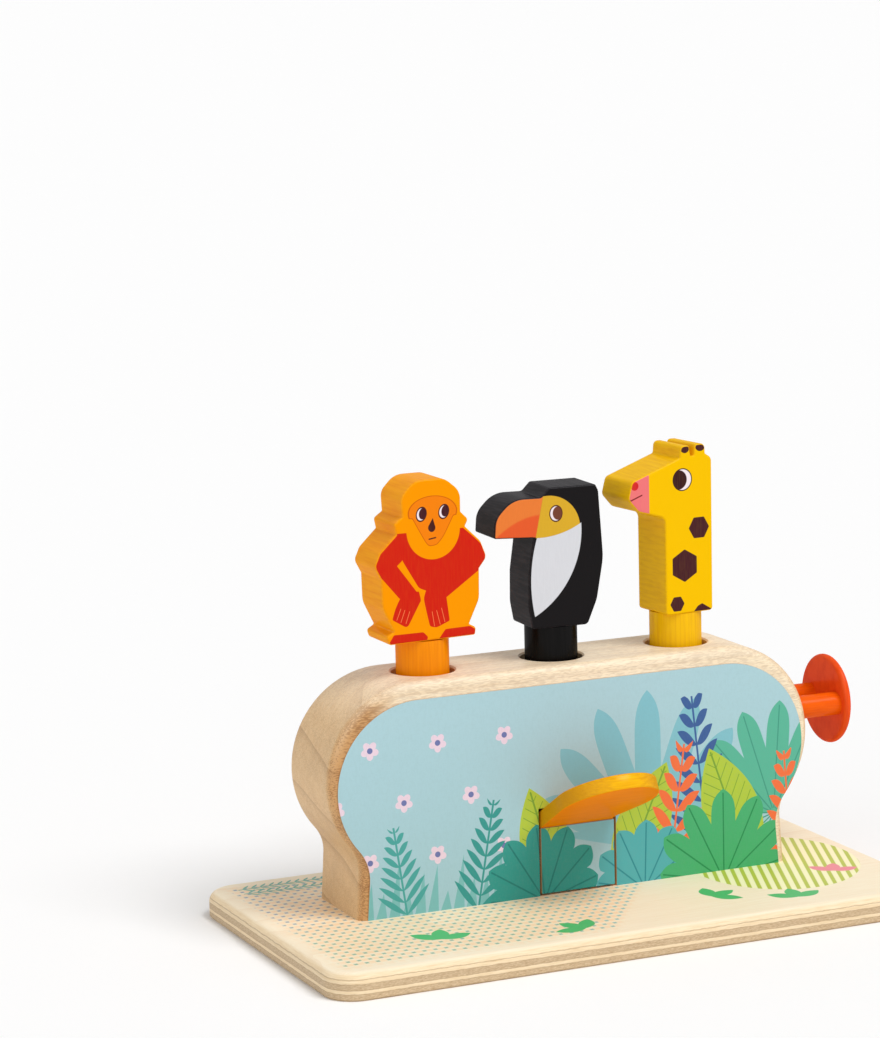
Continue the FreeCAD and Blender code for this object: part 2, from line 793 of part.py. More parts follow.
def make_button_disc():
    """A thin turned disc, rounded at the rim and slightly domed outside."""
    body = new_body("button_disc")
    profile = sketch_on(body, "XZ_Plane", "DiscProfile")
    radius = size("disc_diameter") / 2
    thick = size("disc_thick")
    lip = size("disc_lip") / 2
    shoulder = radius - lip
    rise = thick - 2 * lip
    dome = (shoulder**2 + rise**2) / (2 * rise)
    lean = math.asin(shoulder / dome) / 2
    halfway = Vector(thick - dome + dome * math.cos(lean), dome * math.sin(lean), 0)
    origin = Vector(0, 0, 0)
    back = Vector(0, shoulder, 0)
    front = Vector(2 * lip, shoulder, 0)
    crown = Vector(thick, 0, 0)
    profile.addGeometry(Part.LineSegment(origin, back))
    profile.addGeometry(Part.Arc(back, Vector(lip, radius, 0), front))
    profile.addGeometry(Part.Arc(front, halfway, crown))
    profile.addGeometry(Part.LineSegment(crown, origin))
    revolve(body, profile, "H_Axis", "DiscTurned")
    sockets = sketch_on(body, "YZ_Plane", "RodSockets")
    for side in (-1, 1):
        add_circle(sockets, "Sizes.rod_diameter", f"{side} * Sizes.rod_spacing / 2")
    cut(body, sockets, "RodSocketBores", "Sizes.rod_in_disc", back=True)
    set_on_board(body, across="Sizes.disc_left", up="Sizes.rod_height")
    return body


def make_button_rod(label, side):
    rod = doc.addObject("Part::Cylinder", label)
    rod.Label = label
    rod.Placement.Rotation = Rotation(Vector(0, 1, 0), 90)
    bind(
        rod,
        Radius="Sizes.rod_diameter / 2",
        Height="Sizes.disc_left + Sizes.rod_in_disc - Sizes.web_left",
        Placement__Base__x="Sizes.web_left",
        Placement__Base__y=f"Sizes.block_shift + {side} * Sizes.rod_spacing / 2",
        Placement__Base__z="Sizes.base_thick + Sizes.rod_height",
    )
    return rod


def make_button_web():
    """The upright board inside the block that holds the inner ends of the rods."""
    body = new_body("button_web")
    web = sketch_on(body, "XZ_Plane", "WebOutline")
    add_rectangle(web, "Sizes.web_left", "Sizes.web_right", "Sizes.slide_play", "Sizes.web_top")
    pad(body, web, "Sizes.web_width", "WebPad", middle=True)
    bores = sketch_on(body, "YZ_Plane", "WebBores", offset="Sizes.web_right")
    for side in (-1, 1):
        rod = f"{side} * Sizes.rod_spacing / 2"
        add_circle(bores, "Sizes.rod_diameter", rod, "Sizes.rod_height")
    cut(body, bores, "WebRodBores", "Sizes.web_thick")
    set_on_board(body)
    return body


def make_button_wedge():
    """The wedge at the foot of the web, which slides in under the giraffe's follower."""
    body = new_body("button_wedge")
    wedge = sketch_on(body, "XZ_Plane", "WedgeOutline")
    corners = [
        ("Sizes.wedge_left", "Sizes.slide_play"),
        ("Sizes.web_left", "Sizes.slide_play"),
        ("Sizes.web_left", "Sizes.wedge_top"),
        ("Sizes.wedge_left", "Sizes.wedge_low"),
    ]
    add_polygon(wedge, corners)
    pad(body, wedge, "Sizes.wedge_width", "WedgePad", middle=True)
    set_on_board(body)
    return body


# Pegs: an animal cut from a board, on a turned dowel


def make_dowel(label, across):
    """A dowel with a rounded foot, a ring groove and a spigot in the figure."""
    body = new_body(label)
    outline = sketch_on(body, "XY_Plane", "DowelOutline")
    add_circle(outline, "Sizes.dowel_diameter")
    pad(body, outline, "Sizes.dowel_length", "DowelPad")
    round_edges(body, lambda e: on_plane(e, "Z", 0), "Sizes.dowel_round", "DowelFoot")
    ring = sketch_on(body, "XZ_Plane", "RingProfile")
    low = "Sizes.dowel_length - Sizes.groove_drop - Sizes.groove_width / 2"
    high = "Sizes.dowel_length - Sizes.groove_drop + Sizes.groove_width / 2"
    bottom = "Sizes.dowel_diameter / 2 - Sizes.groove_depth"
    add_rectangle(ring, bottom, "Sizes.dowel_diameter", low, high)
    groove = body.newObject("PartDesign::Groove", "RingGroove")
    groove.Profile = ring
    groove.ReferenceAxis = (ring, ["V_Axis"])
    groove.Angle = 360
    spigot = sketch_on(body, "XY_Plane", "SpigotOutline", offset="Sizes.dowel_length")
    add_circle(spigot, "Sizes.spigot_diameter")
    pad(body, spigot, "Sizes.spigot_length", "Spigot")
    set_on_board(body, across=across, up="Sizes.dowel_foot")
    return body


def rounded_loop(corners):
    """Lines and arcs round a closed loop of (x, z, radius) corners."""
    count = len(corners)
    points = [Vector(x, z, 0) for x, z, _ in corners]
    cuts = []
    for i, (_, _, radius) in enumerate(corners):
        here = points[i]
        back = (points[i - 1] - here).normalize()
        ahead = (points[(i + 1) % count] - here).normalize()
        half = back.getAngle(ahead) / 2
        reach = radius / math.tan(half)
        start = here + back * reach
        end = here + ahead * reach
        centre = here + (back + ahead).normalize() * (radius / math.sin(half))
        middle = centre + (here - centre).normalize() * radius
        cuts.append((start, middle, end, radius))
    pieces = []
    for i, (start, middle, end, radius) in enumerate(cuts):
        if radius > 0:
            pieces.append(Part.Arc(start, middle, end))
        following = cuts[(i + 1) % count][0]
        if end.distanceToPoint(following) > 0.01:
            pieces.append(Part.LineSegment(end, following))
    return pieces


def make_figure(label, corners, across, turn):
    """An outline cut from thick board, its edges eased, with a hole for the spigot."""
    body = new_body(label)
    outline = sketch_on(body, "XZ_Plane", "FigureOutline")
    outline.addGeometry(rounded_loop(corners))
    pad(body, outline, "Sizes.figure_thick", "FigurePad", middle=True)
    face = size("figure_thick") / 2
    is_outline = lambda e: on_plane(e, "Y", -face) or on_plane(e, "Y", face)
    round_edges(body, is_outline, "Sizes.figure_edge", "FigureEdges")
    hole = sketch_on(body, "XY_Plane", "SpigotHole")
    add_circle(hole, "Sizes.spigot_diameter")
    cut(body, hole, "SpigotBore", "Sizes.spigot_length", back=True)
    body.Placement.Rotation = Rotation(Vector(0, 0, 1), turn)
    set_on_board(body, across=across, up=FIGURE_FOOT)
    return body


# Corners of the figures: across from the dowel's axis, up from its top, corner radius

TOUCAN = (
    (-11.2, 0, 1.2),
    (11.2, 0, 2),
    (15.2, 9.5, 12),
    (18.0, 25, 25),
    (16.4, 50.5, 3),
    (15.2, 53, 1),
    (-3.6, 53, 1.2),
    (-7.0, 49.6, 2),
    (-18.5, 49.8, 11),
    (-25.4, 43, 8),
    (-26.0, 35.4, 0.8),
    (-10.3, 34.6, 0.5),
    (-12.4, 20, 12),
    (-12.6, 8, 10),
)

GIRAFFE = (
    (-10.2, 0, 1.4),
    (10.8, 0, 1.4),
    (11.0, 59, 2.5),
    (8.2, 60.6, 1.0),
    (8.0, 64.6, 1.8),
    (3.6, 64.6, 1.2),
    (3.1, 60.2, 0.6),
    (1.6, 60.2, 0.6),
    (1.0, 64.4, 1.2),
    (-2.8, 64.4, 1.8),
    (-3.2, 59.8, 1.0),
    (-24.6, 52.6, 2.4),
    (-26.4, 46, 2.5),
    (-22.0, 41.0, 3.5),
    (-10.2, 37.6, 3.0),
)

MONKEY = (
    (-17.2, 0, 1.4),
    (17.4, 0.6, 0.8),
    (17.8, 3.4, 1.3),
    (15.0, 4.9, 0.6),
    (19.4, 14, 8),
    (19.6, 25.4, 0.5),
    (22.8, 29.4, 3),
    (20.4, 35.6, 4),
    (14.2, 41.6, 0.5),
    (15.6, 44.2, 1.4),
    (12.6, 47.2, 0.5),
    (12.6, 55, 6),
    (6.4, 60.2, 7),
    (-5.6, 60.2, 8),
    (-11.2, 54.4, 5),
    (-10.8, 47.0, 0.5),
    (-14.2, 44.6, 1.4),
    (-13.4, 40.8, 0.5),
    (-20.2, 34.4, 4),
    (-22.4, 29.6, 3),
    (-19.8, 24.6, 0.5),
    (-19.6, 14, 8),
    (-15.2, 4.8, 0.6),
    (-18.2, 3.0, 1.2),
)


# The whole toy

nodes = [
    make_base_board(),
    make_base_screws(),
    make_hippo_block(),
    make_front_print(),
    make_lever_pin(),
    make_lever_flap(),
    make_flap_print(),
    make_lever_paddle(),
    make_lever_arm(),
    make_arm_rest(),
    make_toucan_follower(),
    make_giraffe_follower(),
    make_monkey_plunger(),
    make_monkey_spring(),
    make_button_disc(),
    make_button_rod("button_rod_front", -1),
    make_button_rod("button_rod_rear", 1),
    make_button_web(),
    make_button_wedge(),
    make_button_spring(),
    make_dowel("monkey_dowel", "-Sizes.hole_spacing"),
    make_dowel("toucan_dowel", "0"),
    make_dowel("giraffe_dowel", "Sizes.hole_spacing"),
    make_figure("monkey_figure", MONKEY, "-Sizes.hole_spacing", 0),
    make_figure("toucan_figure", TOUCAN, "0", size("toucan_turn")),
    make_figure("giraffe_figure", GIRAFFE, "Sizes.hole_spacing", size("giraffe_turn")),
]

doc.recompute()
for item in doc.Objects:
    if "Invalid" in item.State or "Error" in item.State:
        raise RuntimeError(f"{item.Label} failed to build")
for node in nodes:
    if node.Shape.isNull() or not node.Shape.isValid():
        raise RuntimeError(f"{node.Label} has no sound solid")
for node in nodes:
    node.Shape.exportStep(f"parts/{node.Label}.step")
    box = node.Shape.optimalBoundingBox(False, False)
    print(
        f"{node.Label}: {len(node.Shape.Solids)} solid(s), {node.Shape.Volume / 1000:.2f} cm3, "
        f"x {box.XMin:.1f}..{box.XMax:.1f}, y {box.YMin:.1f}..{box.YMax:.1f}, "
        f"z {box.ZMin:.1f}..{box.ZMax:.1f}"
    )
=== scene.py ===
# %% [markdown]
# # Pop up animal toy
#
# The real toy is a block of light wood on a plywood board, with three painted animals on
# dowels, an orange paddle and a red-orange push button. Its shapes come from the CAD model,
# which is loaded here as a fixed frame, in metres. Blender gives each piece its finish:
# bare wood, thin stain, print, ply edges and steel. Each finish is made of shader nodes
# alone, so it stays sharp at any distance and needs no picture file.

# %% Load the frame
import json
import math

import bmesh
import bpy
from mathutils import Matrix, Vector

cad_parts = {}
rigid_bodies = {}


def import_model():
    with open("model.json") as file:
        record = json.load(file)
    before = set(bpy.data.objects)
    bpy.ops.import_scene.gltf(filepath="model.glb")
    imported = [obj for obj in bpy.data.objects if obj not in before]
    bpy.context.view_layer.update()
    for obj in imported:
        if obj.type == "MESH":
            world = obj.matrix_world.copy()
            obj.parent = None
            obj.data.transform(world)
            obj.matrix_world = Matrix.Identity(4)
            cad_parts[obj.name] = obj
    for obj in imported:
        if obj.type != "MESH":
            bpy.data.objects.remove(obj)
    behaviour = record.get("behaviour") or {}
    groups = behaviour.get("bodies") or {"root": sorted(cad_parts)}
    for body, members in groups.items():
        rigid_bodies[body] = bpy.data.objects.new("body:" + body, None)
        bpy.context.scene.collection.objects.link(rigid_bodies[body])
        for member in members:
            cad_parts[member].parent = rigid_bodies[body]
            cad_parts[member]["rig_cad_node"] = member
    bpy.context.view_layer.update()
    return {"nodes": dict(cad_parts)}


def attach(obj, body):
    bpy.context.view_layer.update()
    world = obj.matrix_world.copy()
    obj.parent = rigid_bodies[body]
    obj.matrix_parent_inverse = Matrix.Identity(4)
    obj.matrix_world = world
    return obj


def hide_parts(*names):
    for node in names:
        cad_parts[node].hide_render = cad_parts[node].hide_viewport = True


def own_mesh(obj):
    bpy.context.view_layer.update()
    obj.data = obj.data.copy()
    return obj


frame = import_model()
nodes = frame["nodes"]
print("CAD nodes:", len(nodes))

# %% [markdown]
# ## Camera
#
# The camera stands where the photograph was taken from. Its place, its three angles and
# its focal length were fitted to the corners of the board, the rims of the holes and the
# edges of the dowels. A camera object looks down its own -Z axis with +Y up, so its
# rotation is a matrix whose columns are right, up and backwards.

# %% Camera
IMAGE_HEIGHT = 1038
FOCAL_PIXELS = 3458.1
CAMERA_PLACE = Vector((-0.5523, -1.1444, 0.3561))
YAW = math.radians(23.69)
PITCH = math.radians(9.13)
ROLL = math.radians(-1.39)


def add_camera():
    look = Vector(
        (math.sin(YAW) * math.cos(PITCH), math.cos(YAW) * math.cos(PITCH), -math.sin(PITCH))
    )
    level = Vector((math.cos(YAW), -math.sin(YAW), 0))
    upright = level.cross(look)
    right = level * math.cos(ROLL) + upright * math.sin(ROLL)
    up = upright * math.cos(ROLL) - level * math.sin(ROLL)
    camera = bpy.data.objects.new("camera", bpy.data.cameras.new("camera"))
    bpy.context.scene.collection.objects.link(camera)
    turn = Matrix((right, up, -look)).transposed()
    camera.matrix_world = Matrix.Translation(CAMERA_PLACE) @ turn.to_4x4()
    camera.data.lens = FOCAL_PIXELS * camera.data.sensor_width / IMAGE_HEIGHT
    camera.data.clip_start = 0.05
    camera.data.clip_end = 100
    bpy.context.scene.camera = camera
    return camera


camera = add_camera()
print("lens, mm:", round(camera.data.lens, 1))

# %% [markdown]
# ## Light and floor
#
# A toy in a catalogue is lit by large soft boxes. A wide sun from above right is the key,
# a weaker one from the front fills the shade, and an even white world does the rest. The
# world looks fully white to the camera, and in reflections, but lights the toy more
# weakly, so pale wood keeps its colour.

# %% Suns
bpy.context.scene.view_settings.view_transform = "Standard"


def add_sun(name, strength, softness, toward):
    sun = bpy.data.objects.new(name, bpy.data.lights.new(name, "SUN"))
    bpy.context.scene.collection.objects.link(sun)
    sun.data.energy = strength
    sun.data.angle = math.radians(softness)
    sun.rotation_mode = "QUATERNION"
    sun.rotation_quaternion = Vector(toward).to_track_quat("-Z", "Y")
    return sun


suns = [
    add_sun("key", 1.75, 30, (-0.3, 0.45, -0.8)),
    add_sun("fill", 0.7, 70, (0.65, 0.6, -0.3)),
]
print("suns:", len(suns))

# %% [markdown]
# A world, like a material, is a tree of nodes. Every node in this file is made by one
# function, so each can be read in the same way: its type, its settings, and then a value
# or a link for each of its sockets.

# %% Nodes


def add_node(tree, kind, settings, values, out=0):
    """Adds a node and returns one of its outputs."""
    node = tree.nodes.new(kind)
    for name, value in settings.items():
        setattr(node, name, value)
    for slot, value in values.items():
        if isinstance(value, bpy.types.NodeSocket):
            tree.links.new(value, node.inputs[slot])
        else:
            node.inputs[slot].default_value = value
    return node.outputs[out]


print("node maker ready")

# %% World
WHITE = (1, 1, 1, 1)
WORLD_LIGHT = 0.46


def add_world():
    world = bpy.data.worlds.new("studio")
    bpy.context.scene.world = world
    world.use_nodes = True
    tree = world.node_tree
    rays = add_node(tree, "ShaderNodeLightPath", {}, {}, "Is Camera Ray")
    path = rays.node
    for name in ("Is Glossy Ray", "Is Transmission Ray"):
        either = {0: rays, 1: path.outputs[name]}
        rays = add_node(tree, "ShaderNodeMath", {"operation": "MAXIMUM"}, either)
    light = tree.nodes["Background"].outputs[0]
    light.node.inputs["Color"].default_value = WHITE
    light.node.inputs["Strength"].default_value = WORLD_LIGHT
    seen = add_node(tree, "ShaderNodeBackground", {}, {"Color": WHITE, "Strength": 1.0})
    mix = add_node(tree, "ShaderNodeMixShader", {}, {0: rays, 1: light, 2: seen})
    tree.links.new(mix, tree.nodes["World Output"].inputs["Surface"])


add_world()
print("world light:", WORLD_LIGHT)

# %% Floor


def add_floor():
    bpy.ops.object.select_all(action="DESELECT")
    bpy.ops.mesh.primitive_plane_add(size=120, location=(0, 0, 0))
    floor = bpy.context.object
    floor.name = "floor"
    material = bpy.data.materials.new("floor")
    material.use_nodes = True
    shader = material.node_tree.nodes["Principled BSDF"]
    shader.inputs["Base Color"].default_value = (0.985, 0.985, 0.985, 1)
    shader.inputs["Roughness"].default_value = 0.9
    shader.inputs["Specular IOR Level"].default_value = 0.0
    floor.data.materials.append(material)
    print("floor, m:", round(floor.dimensions.x))


add_floor()

# %% [markdown]
# ## Shader maths
#
# A pattern is a sum over the surface: how far is this point from the edge of that shape?
# Written with nodes by hand, such a sum is a large web. A small class wraps one output
# socket and overloads the operators, so the sum is written as plain arithmetic and each
# operator adds its own Math node. The reflected forms let a plain number come first.

# %% Numbers on the surface


class Num:
    """A number on the surface: arithmetic with it adds Math nodes."""

    def __init__(self, paint, socket):
        self.paint = paint
        self.socket = socket

    def maths(self, operation, *others):
        settings, values = {"operation": operation}, dict(enumerate((self, *others)))
        return Num(self.paint, self.paint.node("ShaderNodeMath", settings, values))

    def __add__(self, other):
        return self.maths("ADD", other)

    def __sub__(self, other):
        return self.maths("SUBTRACT", other)

    def __mul__(self, other):
        return self.maths("MULTIPLY", other)

    def __truediv__(self, other):
        return self.maths("DIVIDE", other)

    def __rsub__(self, other):
        return (self * -1.0) + other

    __radd__ = __add__
    __rmul__ = __mul__

    def abs(self):
        return self.maths("ABSOLUTE")

    def min(self, other):
        return self.maths("MINIMUM", other)

    def max(self, other):
        return self.maths("MAXIMUM", other)

    def wrap(self, period):
        """How far the number is from the middle of its period."""
        return self.maths("FLOORED_MODULO", period) - period / 2

    def clamp(self):
        return Num(self.paint, self.paint.node("ShaderNodeClamp", {}, {0: self}))

    def below(self, edge=0.0, soft=0.12):
        """1 where the number is under the edge and 0 above it, over a short soft step."""
        return ((edge - self) * (1 / soft) + 0.5).clamp()


print("numbers ready")

# %% [markdown]
# One material is one Paint. It keeps the place and the direction of the surface as
# numbers, and makes the noise, the colour mixes and the shader's links.

# %% Materials


class Paint:
    """One material: its nodes, its shader, and the place that the surface reads, in mm."""

    def __init__(self, name):
        self.material = bpy.data.materials.new(name)
        self.material.use_nodes = True
        self.tree = self.material.node_tree
        self.shader = self.tree.nodes["Principled BSDF"]
        place = self.node("ShaderNodeTexCoord", {}, {}, "Object")
        self.x, self.y, self.z = (n * 1000.0 for n in self.split(place))
        self.normal = self.split(place.node.outputs["Normal"])

    def node(self, kind, settings, values, out=0):
        plain = {slot: v.socket if isinstance(v, Num) else v for slot, v in values.items()}
        return add_node(self.tree, kind, settings, plain, out)

    def split(self, socket):
        parts = self.node("ShaderNodeSeparateXYZ", {}, {0: socket}).node.outputs
        return [Num(self, part) for part in parts]

    def facing(self, axis):
        """How squarely the surface faces along an axis, from 0 to 1."""
        return self.normal["XYZ".index(axis)].abs()

    def noise(self, lump, stretch=(1, 1, 1), detail=2.0, rough=0.5):
        """Noise from 0 to 1 with lumps of about so many mm, longer by each stretch."""
        axes = zip((self.x, self.y, self.z), stretch)
        place = {slot: n * (1 / longer) for slot, (n, longer) in enumerate(axes)}
        values = {"Vector": self.node("ShaderNodeCombineXYZ", {}, place)}
        values.update({"Scale": 1 / lump, "Detail": detail, "Roughness": rough})
        return Num(self, self.node("ShaderNodeTexNoise", {}, values))

    def mix(self, under, over, amount):
        """A colour between two, each a tuple or the socket of an earlier mix."""
        under, over = ((*c, 1) if isinstance(c, tuple) else c for c in (under, over))
        settings = {"data_type": "RGBA"}
        return self.node("ShaderNodeMix", settings, {0: amount, 6: under, 7: over}, 2)

    def finish(self, colour, bump=None, depth=0.05, roughness=None, coat=None, **values):
        """The colour, the bump (0 to 1 over a depth in mm) and the plain socket values."""
        self.tree.links.new(colour, self.shader.inputs["Base Color"])
        if bump:
            slots = {"Height": bump, "Distance": depth / 1000, "Strength": 0.6}
            normal = self.node("ShaderNodeBump", {}, slots)
            self.tree.links.new(normal, self.shader.inputs["Normal"])
        for name, number in (("Roughness", roughness), ("Coat Weight", coat)):
            if number:
                self.tree.links.new(number.socket, self.shader.inputs[name])
        for name, value in values.items():
            self.shader.inputs[name.replace("_", " ")].default_value = value
        return self


def srgb(red, green, blue):
    """A colour as it looks on screen, 0 to 255, as linear values."""
    levels = (c / 255 for c in (red, green, blue))
    return tuple(c / 12.92 if c <= 0.04045 else ((c + 0.055) / 1.055) ** 2.4 for c in levels)


def dress(paint, *names):
    """Gives a finish to CAD nodes: their shapes stay as they are."""
    for name in names:
        mesh = nodes[name].data
        mesh.materials.clear()
        mesh.materials.append(paint.material)
    print(paint.material.name, "on", ", ".join(names))


print("paint ready")

# %% [markdown]
# ## Flat shapes
#
# Prints and painted faces are flat shapes laid over each other. Each shape is a distance:
# below zero inside, above zero outside, in mm. A soft step at zero turns it into a mask,
# and the mask mixes its colour over what lies under it. Distances join with minimum, cut
# with maximum, and their smooth forms give round corners.

# %% Flat shapes


class Drawing:
    """Flat shapes on a plane of one paint, each laid over those before it."""

    def __init__(self, paint, across, up, ground):
        self.paint = paint
        self.across = across
        self.up = up
        self.top = ground

    def ink(self, shape, colour, soft=0.15):
        self.top = self.paint.mix(self.top, colour, shape.below(0, soft))

    def line(self, start, end):
        """Distance to the right of a straight line from start to end."""
        dx, dz = end[0] - start[0], end[1] - start[1]
        size = math.hypot(dx, dz)
        nx, nz = dz / size, -dx / size
        part = self.across.maths("MULTIPLY_ADD", nx, -(start[0] * nx + start[1] * nz))
        return self.up.maths("MULTIPLY_ADD", nz, part)

    def polygon(self, corners, rounding=0.6):
        """A convex shape, with its corners in anticlockwise order."""
        edges = [self.line(a, b) for a, b in zip(corners, corners[1:] + corners[:1])]
        shape = edges[0]
        for edge in edges[1:]:
            shape = shape.maths("SMOOTH_MAX", edge, rounding)
        return shape

    def axes(self, foot, lean=0):
        """Place along and across an axis that starts at foot and leans right by degrees."""
        c, s = math.cos(math.radians(lean)), math.sin(math.radians(lean))
        dx, dz = self.across - foot[0], self.up - foot[1]
        return dx * s + dz * c, dx * c - dz * s

    def oval(self, centre, rx, rz=None, lean=0):
        """A circle, or an ellipse that leans right by degrees."""
        rz = rz or rx
        along, over = self.axes(centre, lean)
        along, over = along * (1 / rz), over * (1 / rx)
        return ((along * along + over * over).maths("SQRT") - 1.0) * min(rx, rz)

    def stroke(self, start, end, width):
        """A straight line with round ends."""
        lean = math.degrees(math.atan2(end[0] - start[0], end[1] - start[1]))
        length = math.hypot(end[0] - start[0], end[1] - start[1])
        along, over = self.axes(start, lean)
        past = (along * -1.0).max(along - length).max(0.0)
        return (past * past + over * over).maths("SQRT") - width / 2


print("flat shapes ready")

# %% [markdown]
# Leaves repeat. A fan of leaves is one leaf drawn in polar coordinates, with the angle
# wrapped round and round. A frond is one leaflet wrapped along its stem and mirrored.

# %% Leaves


def leaf(drawing, foot, lean, length, width):
    """A leaf from its foot to its tip, with its place along and across."""
    along, over = drawing.axes(foot, lean)
    t = along * (2 / length) - 1.0
    return over.abs() - (1.0 - t * t) * (width / 2), along, over


def veins(blade, along, over, pitch, margin=1.2, width=0.45):
    """Side veins and a midrib inside a leaf."""
    side = (along - over.abs() * 1.1).wrap(pitch).abs() - width / 2
    return side.min(over.abs() - width * 0.8).max(blade + margin)


def fan(drawing, foot, lean, length, width, step, spread):
    """Blunt leaves in a fan and their midribs: step and spread are angles in degrees."""
    along, over = drawing.axes(foot, lean)
    step, spread = math.radians(step), math.radians(spread)
    angle = over.maths("ARCTAN2", along)
    small = (angle + step / 2).wrap(step)
    middle = (angle - small) * (2 / spread)
    reach = (1.0 - middle * middle * 0.3) * length
    distance = (along * along + over * over).maths("SQRT")
    t = distance * small.maths("COSINE") / reach * 2.0 - 1.0
    t = t * t
    side = (distance * small.maths("SINE")).abs()
    blade = side - (1.0 - t * t * t) * (width / 2)
    return blade.max((angle.abs() - spread / 2) * 8.0), side.max(blade + width * 0.22)


def frond(drawing, foot, lean, length, reach, pitch, thick):
    """A stem with paired leaflets that get shorter towards its tip."""
    along, over = drawing.axes(foot, lean)
    away = over.abs()
    start = along - away * 0.9
    there = away / ((1.0 - start * (0.75 / length)) * reach)
    t = there * 2.0 - 1.0
    leaflet = start.wrap(pitch).abs() - (1.0 - t * t) * (thick / 2)
    leaflet = leaflet.max(start * -1.0).max(start - length)
    stem = (away - 0.4).max(along * -1.0).max(along - length - 2.0)
    return leaflet.min(stem)


def grass(drawing, base, pitch, height, width):
    """A row of pointed blades that lean a little and differ in height."""
    along, over = drawing.axes((0, base))
    over = over - along * 0.12
    lump = (over * (1 / pitch)).maths("FLOOR")
    tall = ((lump * 2.4).maths("SINE") * 0.35 + 0.7) * height
    return over.wrap(pitch).abs() - (1.0 - along / tall) * (width / 2)


print("leaves ready")

# %% [markdown]
# ## Bare wood
#
# The block is light, close-grained hardwood under a clear lacquer. Its growth rings run
# along it: on the top they are faint straight lines, on the ends broad slanting arcs.
# Rings as long cylinders about one line give both at once. Fibres and pores are noise that
# is stretched along the wood, so they are dashes on the faces and dots on the ends. The
# ends soak up more lacquer and are browner. The rounded rim of the left end is browner
# still, partly from lacquer and partly as painted shade, since the light comes from the
# right; the right rim is left pale.

# %% Grain


def rings(paint, centre, pitch, wander=6.0):
    """Lines, from 0 to 1, of rings round an axis along X that passes through centre."""
    drift = (paint.noise(45, (3.5, 1, 1), 2) - 0.5) * wander
    across, up = paint.y - centre[0] + drift, paint.z - centre[1] + drift
    ring = ((across * across + up * up).maths("SQRT") * (1 / pitch)).maths("FRACT")
    return ring * ring * ring * ring


def wood_grain(paint, centre, pitch, wander=6.0):
    """Ring lines and fibres, each from 0 to 1, for wood that grows along X."""
    return rings(paint, centre, pitch, wander), paint.noise(0.45, (34, 1, 1), 3, 0.6)


def pores(paint, lump=0.55):
    """Small dark pores: long on the faces, round on the ends."""
    speck = paint.noise(lump, (7, 1, 1), 1.5, 0.6)
    patch = paint.noise(14, (2, 1, 1), 2)
    return ((speck - (0.66 - patch * 0.4)) * 9.0).clamp()


print("grain ready")

# %% [markdown]
# The block's colours are laid on in turn, each where its mask is 1: the pale faces, the
# browner ends, the rim of the left end, browner partly as painted shade, the rings and
# pores, and last the walls of the holes and of the room behind the flap, which no lacquer
# has reached.

# %% Block
HOLE_STEP = 53
BLOCK_Y = 13
LEFT_END = -70.0


def block_ends_and_left_shade(paint):
    """Masks for both ends, with the left end's front edge, and the left rim, partly painted
    shade.
    """
    # Only the left end gets the extra browning: partly painted shade, as the light comes from
    # the right.
    left = ((paint.x * -1.0 + LEFT_END) * (1 / 14)).clamp()
    end = (paint.facing("X") * 1.6 - 0.3).clamp()
    end = end.max(paint.y.below(2.0, 8.0) * left * (1.0 - paint.facing("Z") * 0.9))
    rim = end * left * (paint.facing("Y") * 1.6 - 0.15).clamp()
    return end, rim


def block_hollows(paint):
    """Masks for the walls of the three holes and for the room behind the flap."""
    plan = Drawing(paint, paint.x, paint.y, None)
    left, middle, right = (plan.oval((x, BLOCK_Y), 11.4) for x in (-HOLE_STEP, 0, HOLE_STEP))
    holes = left.min(middle).min(right).below(0) * (1.0 - paint.facing("Z")).clamp()
    room = (paint.x.abs() - 16.6).max(paint.z - 46.0).max((paint.y - 12.4).abs() - 19.0)
    return holes, room.below(0)


def block_wood():
    paint = Paint("block_wood")
    ring, fibre = wood_grain(paint, (-46, 168), 8.5, 15.0)
    end, rim = block_ends_and_left_shade(paint)
    holes, room = block_hollows(paint)
    streak = paint.noise(2.2, (40, 1, 1), 2)
    pale = paint.mix(srgb(250, 235, 208), srgb(238, 212, 173), (fibre + streak - 0.65).clamp())
    brown = paint.mix(srgb(234, 202, 156), srgb(220, 180, 130), (fibre + streak - 0.5).clamp())
    wood = paint.mix(pale, brown, end)
    # The left end's rim: browner from lacquer, and darker still as painted shade.
    wood = paint.mix(wood, srgb(196, 144, 88), rim * 0.8)
    wood = paint.mix(wood, srgb(172, 120, 76), ring * (0.16 - end * 0.08))
    late = rings(paint, (70, -150), 21.0, 9.0)
    wood = paint.mix(wood, srgb(140, 92, 54), late * late * late * end * 0.35)
    wood = paint.mix(wood, srgb(120, 72, 38), pores(paint, 0.42) * (rim * 0.3 + 0.2))
    wood = paint.mix(wood, srgb(176, 132, 84), holes * (fibre * 0.5 + 0.5))
    wood = paint.mix(wood, srgb(206, 164, 110), room * 0.8)
    values = {"Specular_IOR_Level": 0.2, "Coat_Weight": 0.1, "Coat_Roughness": 0.3}
    return paint.finish(wood, fibre, 0.03, fibre * 0.12 + 0.42, **values)


dress(block_wood(), "hippo_block")

# %% [markdown]
# The works inside are the same wood without lacquer: a little darker and quite matt.

# %% Works inside


def plain_wood():
    paint = Paint("plain_wood")
    ring, fibre = wood_grain(paint, (20, -50), 4.5)
    wood = paint.mix(srgb(224, 194, 152), srgb(194, 156, 110), (fibre * 1.6 - 0.4).clamp())
    wood = paint.mix(wood, srgb(170, 128, 84), ring * 0.4)
    wood = paint.mix(wood, srgb(120, 78, 44), pores(paint) * 0.3)
    return paint.finish(wood, fibre, 0.06, Roughness=0.65, Specular_IOR_Level=0.3)


wood_inside = plain_wood()
dress(wood_inside, "lever_flap", "lever_arm", "arm_rest", "toucan_follower")
dress(wood_inside, "giraffe_follower", "monkey_plunger", "button_web", "button_wedge")

